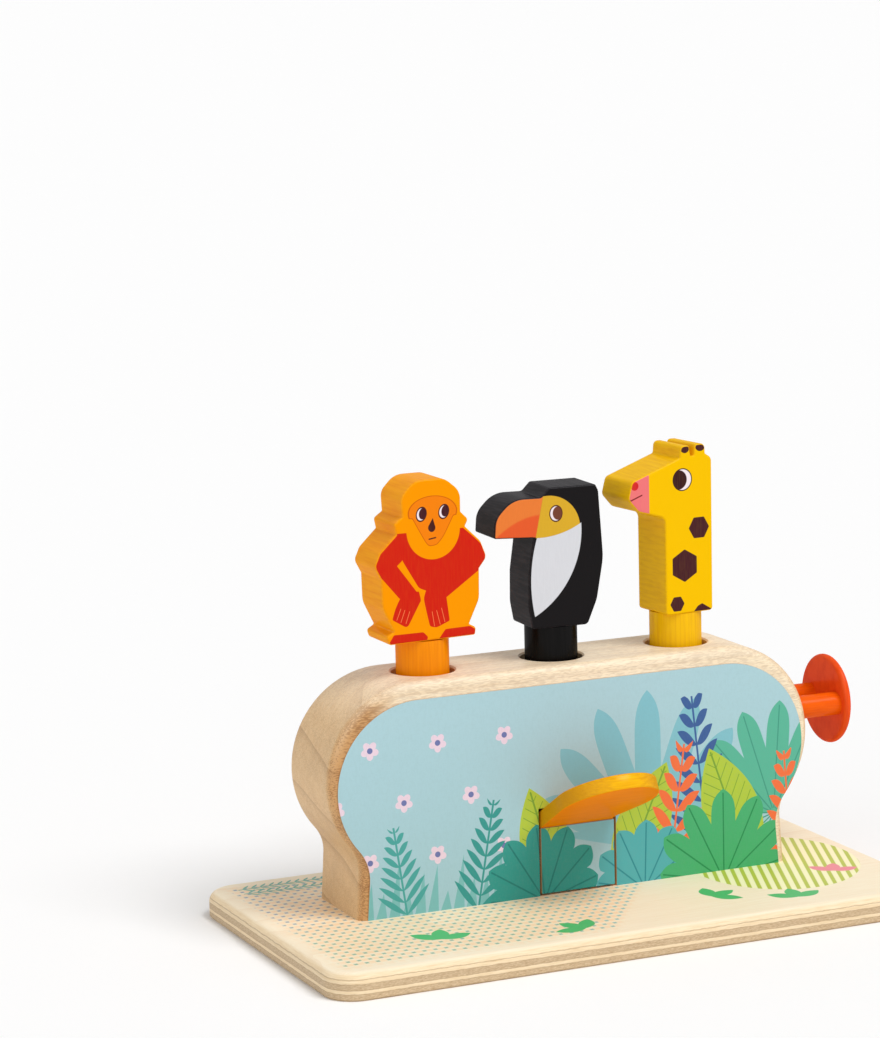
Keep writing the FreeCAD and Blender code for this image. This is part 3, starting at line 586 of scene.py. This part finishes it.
# %% [markdown]
# ## Plywood board
#
# The edge of plywood shows its layers: cream ones that run along the edge, and browner
# ones cut across, with a thin dark line of glue between. Height alone picks the layer, so
# the layers follow the rounded corners, and noise roughs their edges. The top is a pale
# veneer with a light print: small dashes on the left and lime stripes on the right.

# %% Ply layers


def ply_layers(paint):
    """The layers from the underside, 0, to the top, 10 mm."""
    height = paint.z + (paint.noise(1.6, (2, 2, 1), 2) - 0.5) * 0.6
    along = paint.noise(0.6, (10, 10, 0.5), 3, 0.6)
    ends = paint.noise(0.45, (3, 3, 0.7), 3, 0.7)
    cream = paint.mix(srgb(244, 223, 187), srgb(222, 192, 146), (along * 1.8 - 0.6).clamp())
    brown = paint.mix(srgb(216, 192, 156), srgb(168, 136, 98), (ends * 2.2 - 0.75).clamp())
    cut = ((height - 1.4).abs() - 1.2).min((height - 5.1).abs() - 1.1)
    layers = paint.mix(cream, brown, cut.below(0, 0.3))
    glue = ((height - 7.7).abs() - 0.14).min(cut.abs() - 0.1)
    return paint.mix(layers, srgb(150, 114, 78), glue.below(0, 0.25) * 0.6)


print("ply layers ready")

# %% Board print
PRINT_PITCH = 3.9
DASH_STEP = 4.2


def dash_rows(paint, drawing):
    """Small dashes in slanting columns, over a faint lattice of peach."""
    x, y = paint.x, paint.y
    inside = (x - y * 0.72 - 32.0).max((x + 116.0) * -1.0).max(y.abs() - 59.0)
    row = (y * (1 / PRINT_PITCH)).maths("FLOOR")
    place = x - row * 2.8
    tall = y.wrap(PRINT_PITCH).abs()
    peach = (place + DASH_STEP / 2).wrap(DASH_STEP).abs() - 1.25
    peach = peach.max(tall - 1.5).below(0, 0.8) * inside.below(0, 8.0)
    drawing.top = paint.mix(drawing.top, srgb(250, 206, 150), peach * 0.55)
    dash = (place.wrap(DASH_STEP).abs() - 0.7).max(tall - 0.85)
    blue = paint.mix(srgb(128, 146, 168), srgb(116, 170, 144), ((10.0 - y) * 0.03).clamp())
    blue = paint.mix(blue, srgb(126, 188, 186), ((x + 40.0) * 0.025).clamp())
    dash = dash.below(0, 0.5) * inside.below(0, 2.0) * 0.85
    drawing.top = paint.mix(drawing.top, blue, dash)


def stripes(paint, drawing):
    """Slanting lime stripes on a round patch of cream."""
    patch = drawing.oval((84, -6), 33, 40, 14)
    stripe = (paint.x - paint.y * 0.40).wrap(PRINT_PITCH).abs() - 0.85
    drawing.ink(patch, srgb(252, 246, 200), 0.8)
    drawing.ink(stripe.max(patch), srgb(186, 196, 70), 0.3)


print("dashes and stripes ready")

# %% [markdown]
# Small leaves in threes and two thin garlands along the back edge finish the top.

# %% Board


def trefoil(drawing, centre, size, colour, lean):
    """Three leaves from one foot."""
    for turn in (-58, 0, 58):
        blade = leaf(drawing, centre, lean + turn, size, size * 0.5)[0]
        drawing.ink(blade, colour, 0.3)


def board_finish():
    paint = Paint("board")
    ring, fibre = wood_grain(paint, (-30, -160), 5.5, 10.0)
    wood = paint.mix(srgb(253, 240, 214), srgb(244, 222, 186), (fibre * 1.6 - 0.5).clamp())
    wood = paint.mix(wood, srgb(232, 202, 160), ring * 0.3)
    drawing = Drawing(paint, paint.x, paint.y, wood)
    dash_rows(paint, drawing)
    stripes(paint, drawing)
    green, rose = srgb(78, 184, 108), srgb(238, 140, 152)
    for centre, size, colour, lean in (
        ((-72, -42), 13, green, 20),
        ((-20, -54), 12, green, -30),
        ((40, -38), 12, green, 70),
        ((68, -54), 12, green, 10),
        ((98, -28), 11, rose, 30),
    ):
        trefoil(drawing, centre, size, colour, lean)
    for foot, lean in (((-113, 50), 92), ((-113, 56), 88)):
        drawing.ink(frond(drawing, foot, lean, 100, 4.5, 3.6, 1.5), srgb(104, 172, 152), 0.3)
    top = (paint.normal[2] * 6.0 - 4.5).clamp()
    colour = paint.mix(ply_layers(paint), drawing.top, top)
    return paint.finish(colour, fibre, 0.03, Roughness=0.5, Specular_IOR_Level=0.3)


dress(board_finish(), "base_board")

# %% [markdown]
# ## Printed front
#
# The front and its flap carry one printed sheet that is cut through at the slits. Both
# facings share one material in object coordinates, so the design runs on across the cut
# and moves with the flap. The design is a general one: a light blue ground, blossoms, and
# a bank of leaves in teal, green, lime and orange.

# %% Front print
BLOSSOM_STEP = 27
BLOSSOM_ROW = 21


def blossoms(drawing):
    """Five-petalled blossoms in staggered rows."""
    row = (drawing.up * (1 / BLOSSOM_ROW)).maths("FLOOR")
    over = (drawing.across + row * 13.0 + 4.0).wrap(BLOSSOM_STEP)
    up = drawing.up.wrap(BLOSSOM_ROW)
    distance = (over * over + up * up).maths("SQRT")
    petal = (over.maths("ARCTAN2", up) * 2.5).maths("SINE").abs() * 1.3 + 2.3
    area = (drawing.across + 22.0).max(26.0 - drawing.up).max(drawing.up - 86.0)
    drawing.ink((distance - petal).max(area), srgb(232, 208, 222))
    drawing.ink((distance - 1.1).max(area), srgb(108, 116, 168))


def left_bank(drawing):
    """Grass and two fronds at the left."""
    edge = drawing.across + 18.0
    drawing.ink(grass(drawing, 10, 5.2, 20, 4.4).max(edge), srgb(120, 184, 184))
    drawing.ink(frond(drawing, (-70, 8), -8, 34, 11, 4.6, 3.0), srgb(70, 160, 155))
    drawing.ink(frond(drawing, (-42, 6), 10, 42, 12, 5.0, 3.4), srgb(52, 148, 142))


def back_leaves(drawing):
    """Two large pale fans, the second with midribs, and a blue frond."""
    drawing.ink(fan(drawing, (30, 22), 0, 62, 11, 20, 150)[0], srgb(128, 188, 200))
    blade, rib = fan(drawing, (84, 30), 4, 44, 10, 22, 178)
    drawing.ink(blade, srgb(88, 178, 150))
    drawing.ink(rib - 0.25, srgb(64, 150, 128))
    drawing.ink(frond(drawing, (56, 12), -6, 66, 17, 7.5, 5.0), srgb(58, 92, 150))


def middle_leaves(drawing):
    """Veined lime leaves and two coral fronds."""
    lime, coral = srgb(176, 198, 62), srgb(240, 112, 60)
    for foot, lean, size in (((-6, 4), -16, 50), ((16, 6), 24, 54), ((76, 4), -20, 58)):
        blade, along, over = leaf(drawing, foot, lean, size, size * 0.42)
        drawing.ink(blade, lime)
        drawing.ink(veins(blade, along, over, 5.2), srgb(120, 160, 50))
    drawing.ink(frond(drawing, (38, 8), 8, 52, 15, 8.0, 5.6), coral)
    drawing.ink(frond(drawing, (92, 6), -4, 46, 13, 7.0, 5.0), coral)


def front_leaves(drawing):
    """Low fans along the foot of the sheet."""
    for foot, lean, length, colour, line in (
        ((-14, 8), -6, 30, srgb(48, 150, 140), srgb(30, 122, 116)),
        ((28, 7), 2, 27, srgb(82, 172, 176), srgb(48, 138, 146)),
        ((62, 6), 0, 36, srgb(70, 172, 112), srgb(40, 138, 82)),
    ):
        blade, rib = fan(drawing, foot, lean, length, 10.5, 26, 182)
        drawing.ink(blade, colour)
        drawing.ink(rib - 0.3, line)


print("leaf layers ready")

# %% Front facings


def front_print():
    paint = Paint("front_print")
    cloth = paint.noise(0.5, (1, 1, 3), 2) * 0.6 + paint.noise(0.5, (3, 1, 1), 2) * 0.4
    sky = paint.mix(srgb(160, 198, 208), srgb(170, 204, 212), (paint.z * 0.012).clamp())
    drawing = Drawing(paint, paint.x, paint.z, sky)
    blossoms(drawing)
    left_bank(drawing)
    back_leaves(drawing)
    middle_leaves(drawing)
    front_leaves(drawing)
    colour = paint.mix(drawing.top, srgb(120, 150, 150), (cloth * 1.6 - 0.7).clamp() * 0.22)
    colour = paint.mix(srgb(196, 152, 104), colour, (paint.facing("Y") * 4.0 - 2.4).clamp())
    return paint.finish(colour, cloth, 0.02, Roughness=0.5, Specular_IOR_Level=0.25)


dress(front_print(), "front_print_facing", "flap_print_facing")

# %% [markdown]
# In the photograph the sheet closes right over the paddle, so the front's facing is a copy
# of the CAD one whose opening ends lower. A copy is merged first, because a CAD mesh is
# made of loose triangles. Then the points of the opening's top edge are moved down.

# %% Copies of CAD nodes
OPENING_TOP = 0.0455
OPENING_HALF = 0.0165
OPENING_LOWER = 0.0018


def copy_node(node, name, body):
    """A new piece with the shape of a CAD node, which it then stands for."""
    bpy.ops.object.select_all(action="DESELECT")
    nodes[node].select_set(True)
    bpy.context.view_layer.objects.active = nodes[node]
    bpy.ops.object.duplicate()
    piece = bpy.context.object
    piece.name = name
    del piece["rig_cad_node"]
    bpy.ops.mesh.customdata_custom_splitnormals_clear()
    bpy.ops.object.mode_set(mode="EDIT")
    bpy.ops.mesh.select_mode(type="VERT")
    bpy.ops.mesh.select_all(action="SELECT")
    bpy.ops.mesh.remove_doubles(threshold=1e-6)
    bpy.ops.object.mode_set(mode="OBJECT")
    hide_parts(node)
    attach(piece, body)
    return piece


def pick_points(mesh, wanted):
    """Selects the points of a mesh in edit mode that pass a test of their place."""
    points = bmesh.from_edit_mesh(mesh)
    bpy.ops.mesh.select_all(action="DESELECT")
    for point in points.verts:
        point.select = wanted(point.co)
    points.select_flush_mode()
    bmesh.update_edit_mesh(mesh)
    return sum(point.select for point in points.verts)


def on_opening_top(place):
    return abs(place.x) < OPENING_HALF and abs(place.z - OPENING_TOP) < 0.0006


facing = copy_node("front_print_facing", "front_sheet", "toy")
bpy.ops.object.mode_set(mode="EDIT")
picked = pick_points(facing.data, on_opening_top)
bpy.ops.transform.translate(value=(0, 0, -OPENING_LOWER))
bpy.ops.object.mode_set(mode="OBJECT")
bpy.ops.object.shade_flat()
print("points of the opening moved:", picked)

# %% [markdown]
# ## Stained wood
#
# The dowels, the paddle and the button are stained or thinly painted: the fibres of the
# wood still show as fine darker lines, and the lacquer over them gives a soft shine.

# %% Stained wood


def stained(name, colour, shade, along=(1, 1, 24), lump=0.8):
    """A paint, its colour with darker fibres, and the fibres for its bump."""
    paint = Paint(name)
    fibre = paint.noise(lump, along, 3, 0.62)
    cloud = paint.noise(16, (1, 1, 2), 2)
    wood = paint.mix(colour, shade, (fibre * 2.0 + cloud * 0.6 - 1.1).clamp())
    return paint, wood, fibre


def satin(paint, wood, fibre):
    """The soft shine of a thin lacquer."""
    values = {"Specular_IOR_Level": 0.0, "Coat_Weight": 0.18, "Coat_Roughness": 0.2}
    return paint.finish(wood, fibre, 0.04, fibre * 0.15 + 0.3, **values)


def plain_stain(name, colour, shade, along=(1, 1, 24)):
    return satin(*stained(name, colour, shade, along))


black = plain_stain("black_stain", srgb(10, 9, 9), srgb(20, 18, 18))
yellow = plain_stain("yellow_stain", srgb(246, 192, 12), srgb(226, 160, 16))
orange_rods = plain_stain("orange_rods", srgb(240, 96, 8), srgb(224, 78, 8), (12, 1, 1))
red_disc = plain_stain("red_orange_disc", srgb(236, 84, 28), srgb(216, 62, 18), (1, 4, 8))
dress(black, "toucan_dowel")
dress(yellow, "giraffe_dowel")
dress(orange_rods, "button_rod_front", "button_rod_rear")
dress(red_disc, "button_disc")

# %% [markdown]
# ## Paddle
#
# The paddle is a thin round board. Its sides run straight in to the corners of the flap,
# and it reaches a little further to the right. It is drawn flat, as a stretched circle whose
# back is cut away where those straight sides touch it. Each open end is then drawn out to
# a neck as wide as the flap, which clears the opening, and on into the flap. The outline
# is filled and raised to its thickness, and its edges are rounded. At last it is tilted up
# and set on the flap.

# %% Paddle shape
PADDLE_TILT = math.radians(29)
PADDLE_ROOT = (0, -0.0072, 0.0363)
PADDLE_MIDDLE = (0.0032, -0.0229)
PADDLE_RADII = (0.0193, 0.0198)
PADDLE_THICK = 0.006
FLAP_HALF = 0.0152
PADDLE_TAIL = 0.0055
PADDLE_NECK = -0.0027
LEFT_TOUCH, RIGHT_TOUCH = 0.03, 0.38


def draw_out(mesh, start, stops):
    """Draws the point at start out to each stop in turn."""
    pick_points(mesh, lambda place: (place.xy - start).length < 1e-6)
    for stop in stops:
        way = Vector((*(Vector(stop) - start), 0))
        bpy.ops.mesh.extrude_region_move(TRANSFORM_OT_translate={"value": way})
        start = Vector(stop)


def add_paddle():
    bpy.ops.object.select_all(action="DESELECT")
    bpy.ops.mesh.primitive_circle_add(vertices=144, radius=1, location=(*PADDLE_MIDDLE, 0))
    paddle = bpy.context.object
    paddle.name = "paddle"
    paddle.scale = (*PADDLE_RADII, 1)
    bpy.ops.object.transform_apply(location=True, rotation=True, scale=True)
    bpy.ops.object.mode_set(mode="EDIT")
    bpy.ops.mesh.select_mode(type="VERT")

    def behind(place):
        """Past the line through both touches, with the circle taken as a unit circle."""
        along = (place.y - PADDLE_MIDDLE[1]) / PADDLE_RADII[1]
        over = (place.x - PADDLE_MIDDLE[0]) / PADDLE_RADII[0]
        return along > LEFT_TOUCH + (RIGHT_TOUCH - LEFT_TOUCH) * (over + 1) / 2

    pick_points(paddle.data, behind)
    bpy.ops.mesh.delete(type="VERT")
    ends = [v.co.xy for v in bmesh.from_edit_mesh(paddle.data).verts if len(v.link_edges) == 1]
    for end in sorted(ends, key=lambda place: place.x):
        side = math.copysign(FLAP_HALF, end.x)
        draw_out(paddle.data, end, ((side, PADDLE_NECK), (side, PADDLE_TAIL)))
    pick_points(paddle.data, lambda place: place.y > PADDLE_TAIL - 1e-6)
    bpy.ops.mesh.edge_face_add()
    bpy.ops.mesh.select_all(action="SELECT")
    bpy.ops.mesh.edge_face_add()
    up = Vector((0, 0, PADDLE_THICK))
    bpy.ops.mesh.extrude_region_move(TRANSFORM_OT_translate={"value": up})
    bpy.ops.mesh.select_all(action="SELECT")
    bpy.ops.mesh.normals_make_consistent(inside=False)
    bpy.ops.object.mode_set(mode="OBJECT")
    edge = paddle.modifiers.new("edge", "BEVEL")
    edge.width, edge.segments, edge.angle_limit = 0.0008, 3, math.radians(40)
    bpy.ops.object.modifier_apply(modifier="edge")
    paddle.location, paddle.rotation_euler = PADDLE_ROOT, (-PADDLE_TILT, 0, 0)
    bpy.ops.object.transform_apply(location=True, rotation=True, scale=True)
    bpy.ops.object.shade_smooth_by_angle(angle=math.radians(35))
    return paddle


paddle = add_paddle()
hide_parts("lever_paddle")
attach(paddle, "lever")
print("paddle faces:", len(paddle.data.polygons), [round(n, 4) for n in paddle.dimensions])

# %% [markdown]
# The paddle's grain runs across it. Its underside has taken the stain evenly. Its rim is
# painted yellower, as a painted highlight along its edge, and browner on the left and right,
# where the rim cuts the grain; on the left that brown is also painted shade.

# %% Paddle finish


def paddle_stain():
    colour, shade = srgb(244, 140, 0), srgb(230, 124, 2)
    paint, wood, fibre = stained("orange_paddle", colour, shade, (26, 1, 1))
    flat = paint.normal[1] * math.sin(PADDLE_TILT) + paint.normal[2] * math.cos(PADDLE_TILT)
    band = paint.noise(0.6, (60, 2, 1), 2)
    # The rim's yellow, with growth lines in it, is a painted highlight.
    rim = paint.mix(srgb(252, 192, 16), srgb(224, 156, 10), (band * 2.0 - 0.5).clamp())
    # Browner where the rim faces along X: end grain, and on the left also painted shade.
    rim = paint.mix(rim, srgb(206, 140, 20), (paint.facing("X") * 1.2 - 0.1).clamp() * 0.8)
    wood = paint.mix(rim, wood, (flat.abs() * 5.0 - 3.0).clamp())
    return satin(paint, wood, fibre)


paddle.data.materials.append(paddle_stain().material)
print(paddle.active_material.name, "on", paddle.name)

# %% [markdown]
# The monkey's dowel has a ring groove, and it is browner wherever the surface lies nearer
# to the axis than the dowel's own radius.

# %% Grooved dowel


def grooved_stain():
    paint, wood, fibre = stained("orange_stain", srgb(246, 146, 2), srgb(232, 124, 2))
    deep = Drawing(paint, paint.x, paint.y, wood).oval((-HOLE_STEP, BLOCK_Y), 9.55)
    side = 1.0 - (paint.facing("Z") * 4.0 - 3.0).clamp()
    wood = paint.mix(wood, srgb(196, 112, 20), deep.below(0, 0.3) * side * 0.85)
    return satin(paint, wood, fibre)


dress(grooved_stain(), "monkey_dowel")

# %% [markdown]
# ## Painted animals
#
# Each animal is a flat shape sawn from a thick board. Its two faces are screen printed,
# and its sawn sides are only stained, so the marks are shapes on the plane of its face
# and fade out where the surface turns away. Their places are in mm from the foot of the
# animal on its dowel's axis, with the animal's own small turn taken out.

# %% Animal helpers
FOOT = 109.5


def animal(name, dowel_x, turn, face, side, shade):
    """A drawing on an animal's face, its stained side, and its fibres."""
    paint, stain, fibre = stained(name, side, shade, (1, 20, 1.2), 0.9)
    c, s = math.cos(math.radians(turn)), math.sin(math.radians(turn))
    across = (paint.x - dowel_x) * c + (paint.y - BLOCK_Y) * s
    return Drawing(paint, across, paint.z - FOOT, face), stain, fibre


def finish_animal(drawing, stain, fibre, worn=0.06):
    """The print on both faces, a little worn, and the stain on the sawn sides."""
    paint = drawing.paint
    front = (paint.facing("Y") * 8.0 - 6.2).clamp()
    thin = paint.noise(0.5, (1, 6, 14), 2, 0.6)
    face = paint.mix(drawing.top, stain, (thin * 2.0 - 0.8).clamp() * worn)
    colour = paint.mix(stain, face, front)
    coat = (1.0 - front) * 0.1 + 0.06
    values = {"Specular_IOR_Level": 0.0, "Coat_Roughness": 0.24}
    return paint.finish(colour, fibre, 0.06, fibre * 0.2 + 0.3, coat, **values)


def eye(drawing, centre, rx, rz, lean, rim, iris, look, share):
    """A dark ring, a white ball, and a pupil of a share of its size that looks aside."""
    ball = drawing.oval(centre, rx, rz, lean)
    drawing.ink(ball, rim)
    drawing.ink(ball + 0.42, srgb(240, 226, 232))
    place = (centre[0] + look[0], centre[1] + look[1])
    pupil = drawing.oval(place, rx * share, rz * share, lean)
    drawing.ink(pupil.max(ball + 0.3), iris)


print("animal helpers ready")

# %% [markdown]
# The toucan is black all over, so only its marks are drawn. Straight lines cut the beak
# from the head. The breast and the cheek are what large circles leave of each other.

# %% Toucan


def toucan():
    black, soft = srgb(28, 26, 27), srgb(60, 56, 60)
    drawing, stain, fibre = animal("toucan", 0, -3, black, srgb(32, 30, 33), soft)
    cheek_line = drawing.line((-9.4, 34.6), (-6.2, 49.7))
    beak = cheek_line.max(35.0 - drawing.up)
    drawing.ink(beak, srgb(230, 124, 56))
    low = drawing.across + 7.0
    drawing.ink(beak.max(drawing.up - (43.2 - low * low * 0.022)), srgb(226, 92, 46), 0.8)
    throat = drawing.oval((-7.7, 67.8), 33.3)
    cheek = drawing.oval((-4.3, 37.2), 12.9).max(cheek_line * -1.0).max(throat)
    breast = drawing.oval((-27.4, 37.0), 36.5).max(drawing.oval((46.7, 17.1), 58.3))
    breast = breast.max(throat * -1.0).max(drawing.up - 39.5)
    drawing.ink(breast, srgb(212, 213, 218))
    drawing.ink(cheek, srgb(214, 168, 46))
    rim, iris = srgb(74, 38, 36), srgb(116, 66, 50)
    eye(drawing, (-1.1, 43.2), 2.7, 3.2, 0, rim, iris, (0.85, 0.1), 0.8)
    return finish_animal(drawing, stain, fibre, 0.05)


dress(toucan(), "toucan_figure")

# %% [markdown]
# The giraffe is yellow, with brown patches, brown tips to its horns and a pink muzzle. Its
# main patches are hexagons with soft corners, each from six straight lines.

# %% Giraffe


def hexagon(drawing, centre, size, first):
    """A regular hexagon whose first corner lies at an angle in degrees."""
    corners = []
    for i in range(6):
        angle = math.radians(first + 60 * i)
        x, z = size * math.cos(angle), size * math.sin(angle)
        corners.append((centre[0] + x, centre[1] + z))
    return drawing.polygon(corners, 0.5)


def giraffe():
    face, side = srgb(243, 190, 2), srgb(246, 192, 14)
    drawing, stain, fibre = animal("giraffe", HOLE_STEP, 5, face, side, srgb(226, 164, 12))
    brown = srgb(70, 33, 40)
    hexagons = (((4.8, 32.6), 4.6, 0), ((-1.8, 18.5), 6.3, 30), ((-5.3, 4.0), 3.2, 0))
    for centre, size, first in hexagons:
        drawing.ink(hexagon(drawing, centre, size, first), brown)
    patch = [(1.1, -0.8), (10.6, -0.8), (10.3, 0.5), (5.9, 3.2), (3.9, 2.4)]
    drawing.ink(drawing.polygon(patch, 0.4), brown)
    horns = drawing.oval((-1.1, 63.3), 1.9, 1.7).min(drawing.oval((5.8, 63.5), 2.1, 1.7))
    drawing.ink(horns, brown)
    muzzle = (drawing.across + 17.3).max(39.4 - drawing.up)
    drawing.ink(muzzle, srgb(234, 116, 120))
    drawing.ink(drawing.oval((-23.6, 51.0), 1.65), srgb(208, 34, 44))
    drawing.ink(drawing.stroke((-26.6, 45.2), (-20.5, 47.3), 0.5), srgb(120, 28, 36))
    rim, iris = srgb(54, 26, 32), srgb(58, 28, 34)
    eye(drawing, (-2.4, 51.6), 4.35, 4.35, 0, rim, iris, (-1.75, 0.0), 0.86)
    return finish_animal(drawing, stain, fibre)


dress(giraffe(), "giraffe_figure")

# %% [markdown]
# The monkey is orange, in red. Straight lines can only bound a shape with no hollows, so
# its red arms and chest are five such shapes in one, joined with a smooth minimum.

# %% Monkey arms
ARMS = (
    ((-21.7, 30.4), (-13.7, 29.1), (-11.2, 31.2), (-8.6, 41.2), (-14.6, 41.2), (-20.6, 33.8)),
    (
        *((-22.0, 31.0), (-21.2, 27.0), (-12.6, 16.8), (-4.4, 15.2)),
        *((-4.7, 18.4), (-13.4, 29.4), (-16.0, 33.0)),
    ),
    (
        *((-14.6, 13.6), (-15.9, 9.4), (-10.6, 6.2), (-9.6, 6.5)),
        *((-4.3, 15.6), (-5.0, 19.2), (-12.4, 17.4)),
    ),
    (
        *((-12.4, 40.8), (-11.4, 31.2), (-4.9, 20.2), (-2.0, 18.9), (5.9, 15.8)),
        *((19.9, 25.2), (22.4, 29.4), (21.9, 32.8), (19.6, 35.6), (12.6, 41.8)),
    ),
    (
        *((-2.2, 19.2), (-3.2, 16.2), (-2.6, 12.5), (-0.9, 5.6)),
        *((1.7, 4.9), (7.1, 7.0), (5.9, 16.4)),
    ),
)
FINGERS = (
    ((-12.4, 13.2), (-14.1, 9.2)),
    ((-10.8, 12.6), (-12.5, 8.2)),
    ((-8.9, 11.9), (-10.5, 7.6)),
    ((0.1, 11.0), (0.9, 5.6)),
    ((1.9, 11.3), (3.2, 6.0)),
    ((3.9, 12.0), (5.1, 6.8)),
)


def monkey_arms(drawing, red):
    """Both arms and the chest, up to the head, and thin lines between the fingers."""
    shape, *others = (drawing.polygon(corners, 0.9) for corners in ARMS)
    for part in others:
        shape = shape.maths("SMOOTH_MIN", part, 0.5)
    drawing.ink(shape.max(drawing.up - 41.2), red)
    for start, end in FINGERS:
        drawing.ink(drawing.stroke(start, end, 0.22), srgb(246, 130, 80))


print("shapes in the monkey's arms:", len(ARMS))

# %% Monkey


def monkey():
    face, side = srgb(246, 149, 0), srgb(250, 164, 18)
    drawing, stain, fibre = animal("monkey", -HOLE_STEP, 0, face, side, srgb(236, 134, 10))
    red, brown = srgb(206, 34, 20), srgb(66, 30, 34)
    monkey_arms(drawing, red)
    left = ((-18.2, -0.4), (-2.2, 0.5), (-1.8, 1.8), (-3.6, 3.7), (-15.4, 3.7))
    right = ((2.6, 0.6), (18.2, 0.9), (18.2, 2.2), (15.3, 4.2), (5.3, 4.0))
    drawing.ink(drawing.polygon(left).min(drawing.polygon(right)), red)
    drawing.ink(drawing.oval((1.3, 41.6), 10.7, 11.1), face)
    lower = ((-8.6, 48.4), (-5.2, 42.6), (-2.4, 37.0), (-0.4, 35.4), (2.6, 35.7))
    lower = drawing.polygon((*lower, (5.2, 38.2), (7.6, 42.2), (10.9, 48.6)), 0.9)
    upper = drawing.oval((1.2, 48.0), 9.9, 6.2).max(46.2 - drawing.up)
    patch = lower.maths("SMOOTH_MIN", upper, 0.8)
    drawing.ink(patch, srgb(206, 96, 14))
    drawing.ink(patch + 0.3, srgb(240, 128, 16))
    for centre in ((-3.3, 47.6), (5.7, 47.9)):
        eye(drawing, centre, 2.15, 2.85, 16, brown, srgb(66, 30, 40), (0.75, 0.25), 0.78)
    nose = drawing.oval((0.75, 42.3), 1.45, 1.6)
    nose = nose.min(drawing.polygon([(-0.6, 42.9), (2.1, 42.7), (1.25, 45.9)], 0.3))
    drawing.ink(nose, brown)
    drawing.ink(drawing.stroke((-0.4, 38.1), (2.2, 38.5), 0.5), brown)
    return finish_animal(drawing, stain, fibre)


dress(monkey(), "monkey_figure")

# %% [markdown]
# ## Steel
#
# The springs, the pivot pin and the screws are bright steel wire and bar, drawn through a
# die: a metal whose roughness varies a little over its length.

# %% Steel


def bright_steel():
    paint = Paint("bright_steel")
    smear = paint.noise(1.5, (1, 1, 1), 3)
    colour = paint.mix(srgb(206, 207, 210), srgb(176, 176, 180), smear)
    return paint.finish(colour, roughness=smear * 0.18 + 0.22, Metallic=1.0)


dress(bright_steel(), "base_screws", "lever_pin", "monkey_spring", "button_spring")

# %% [markdown]
# A coil spring gets shorter as its plunger or wedge comes in. Each spring here is a copy of
# its CAD node with its own mesh and smooth shading, and keeps the CAD node's length.


def add_spring(node, name):
    spring = copy_node(node, name, "toy")
    bpy.ops.object.shade_smooth_by_angle(angle=math.radians(50))
    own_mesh(spring)


add_spring("monkey_spring", "monkey_coil")
add_spring("button_spring", "button_coil")
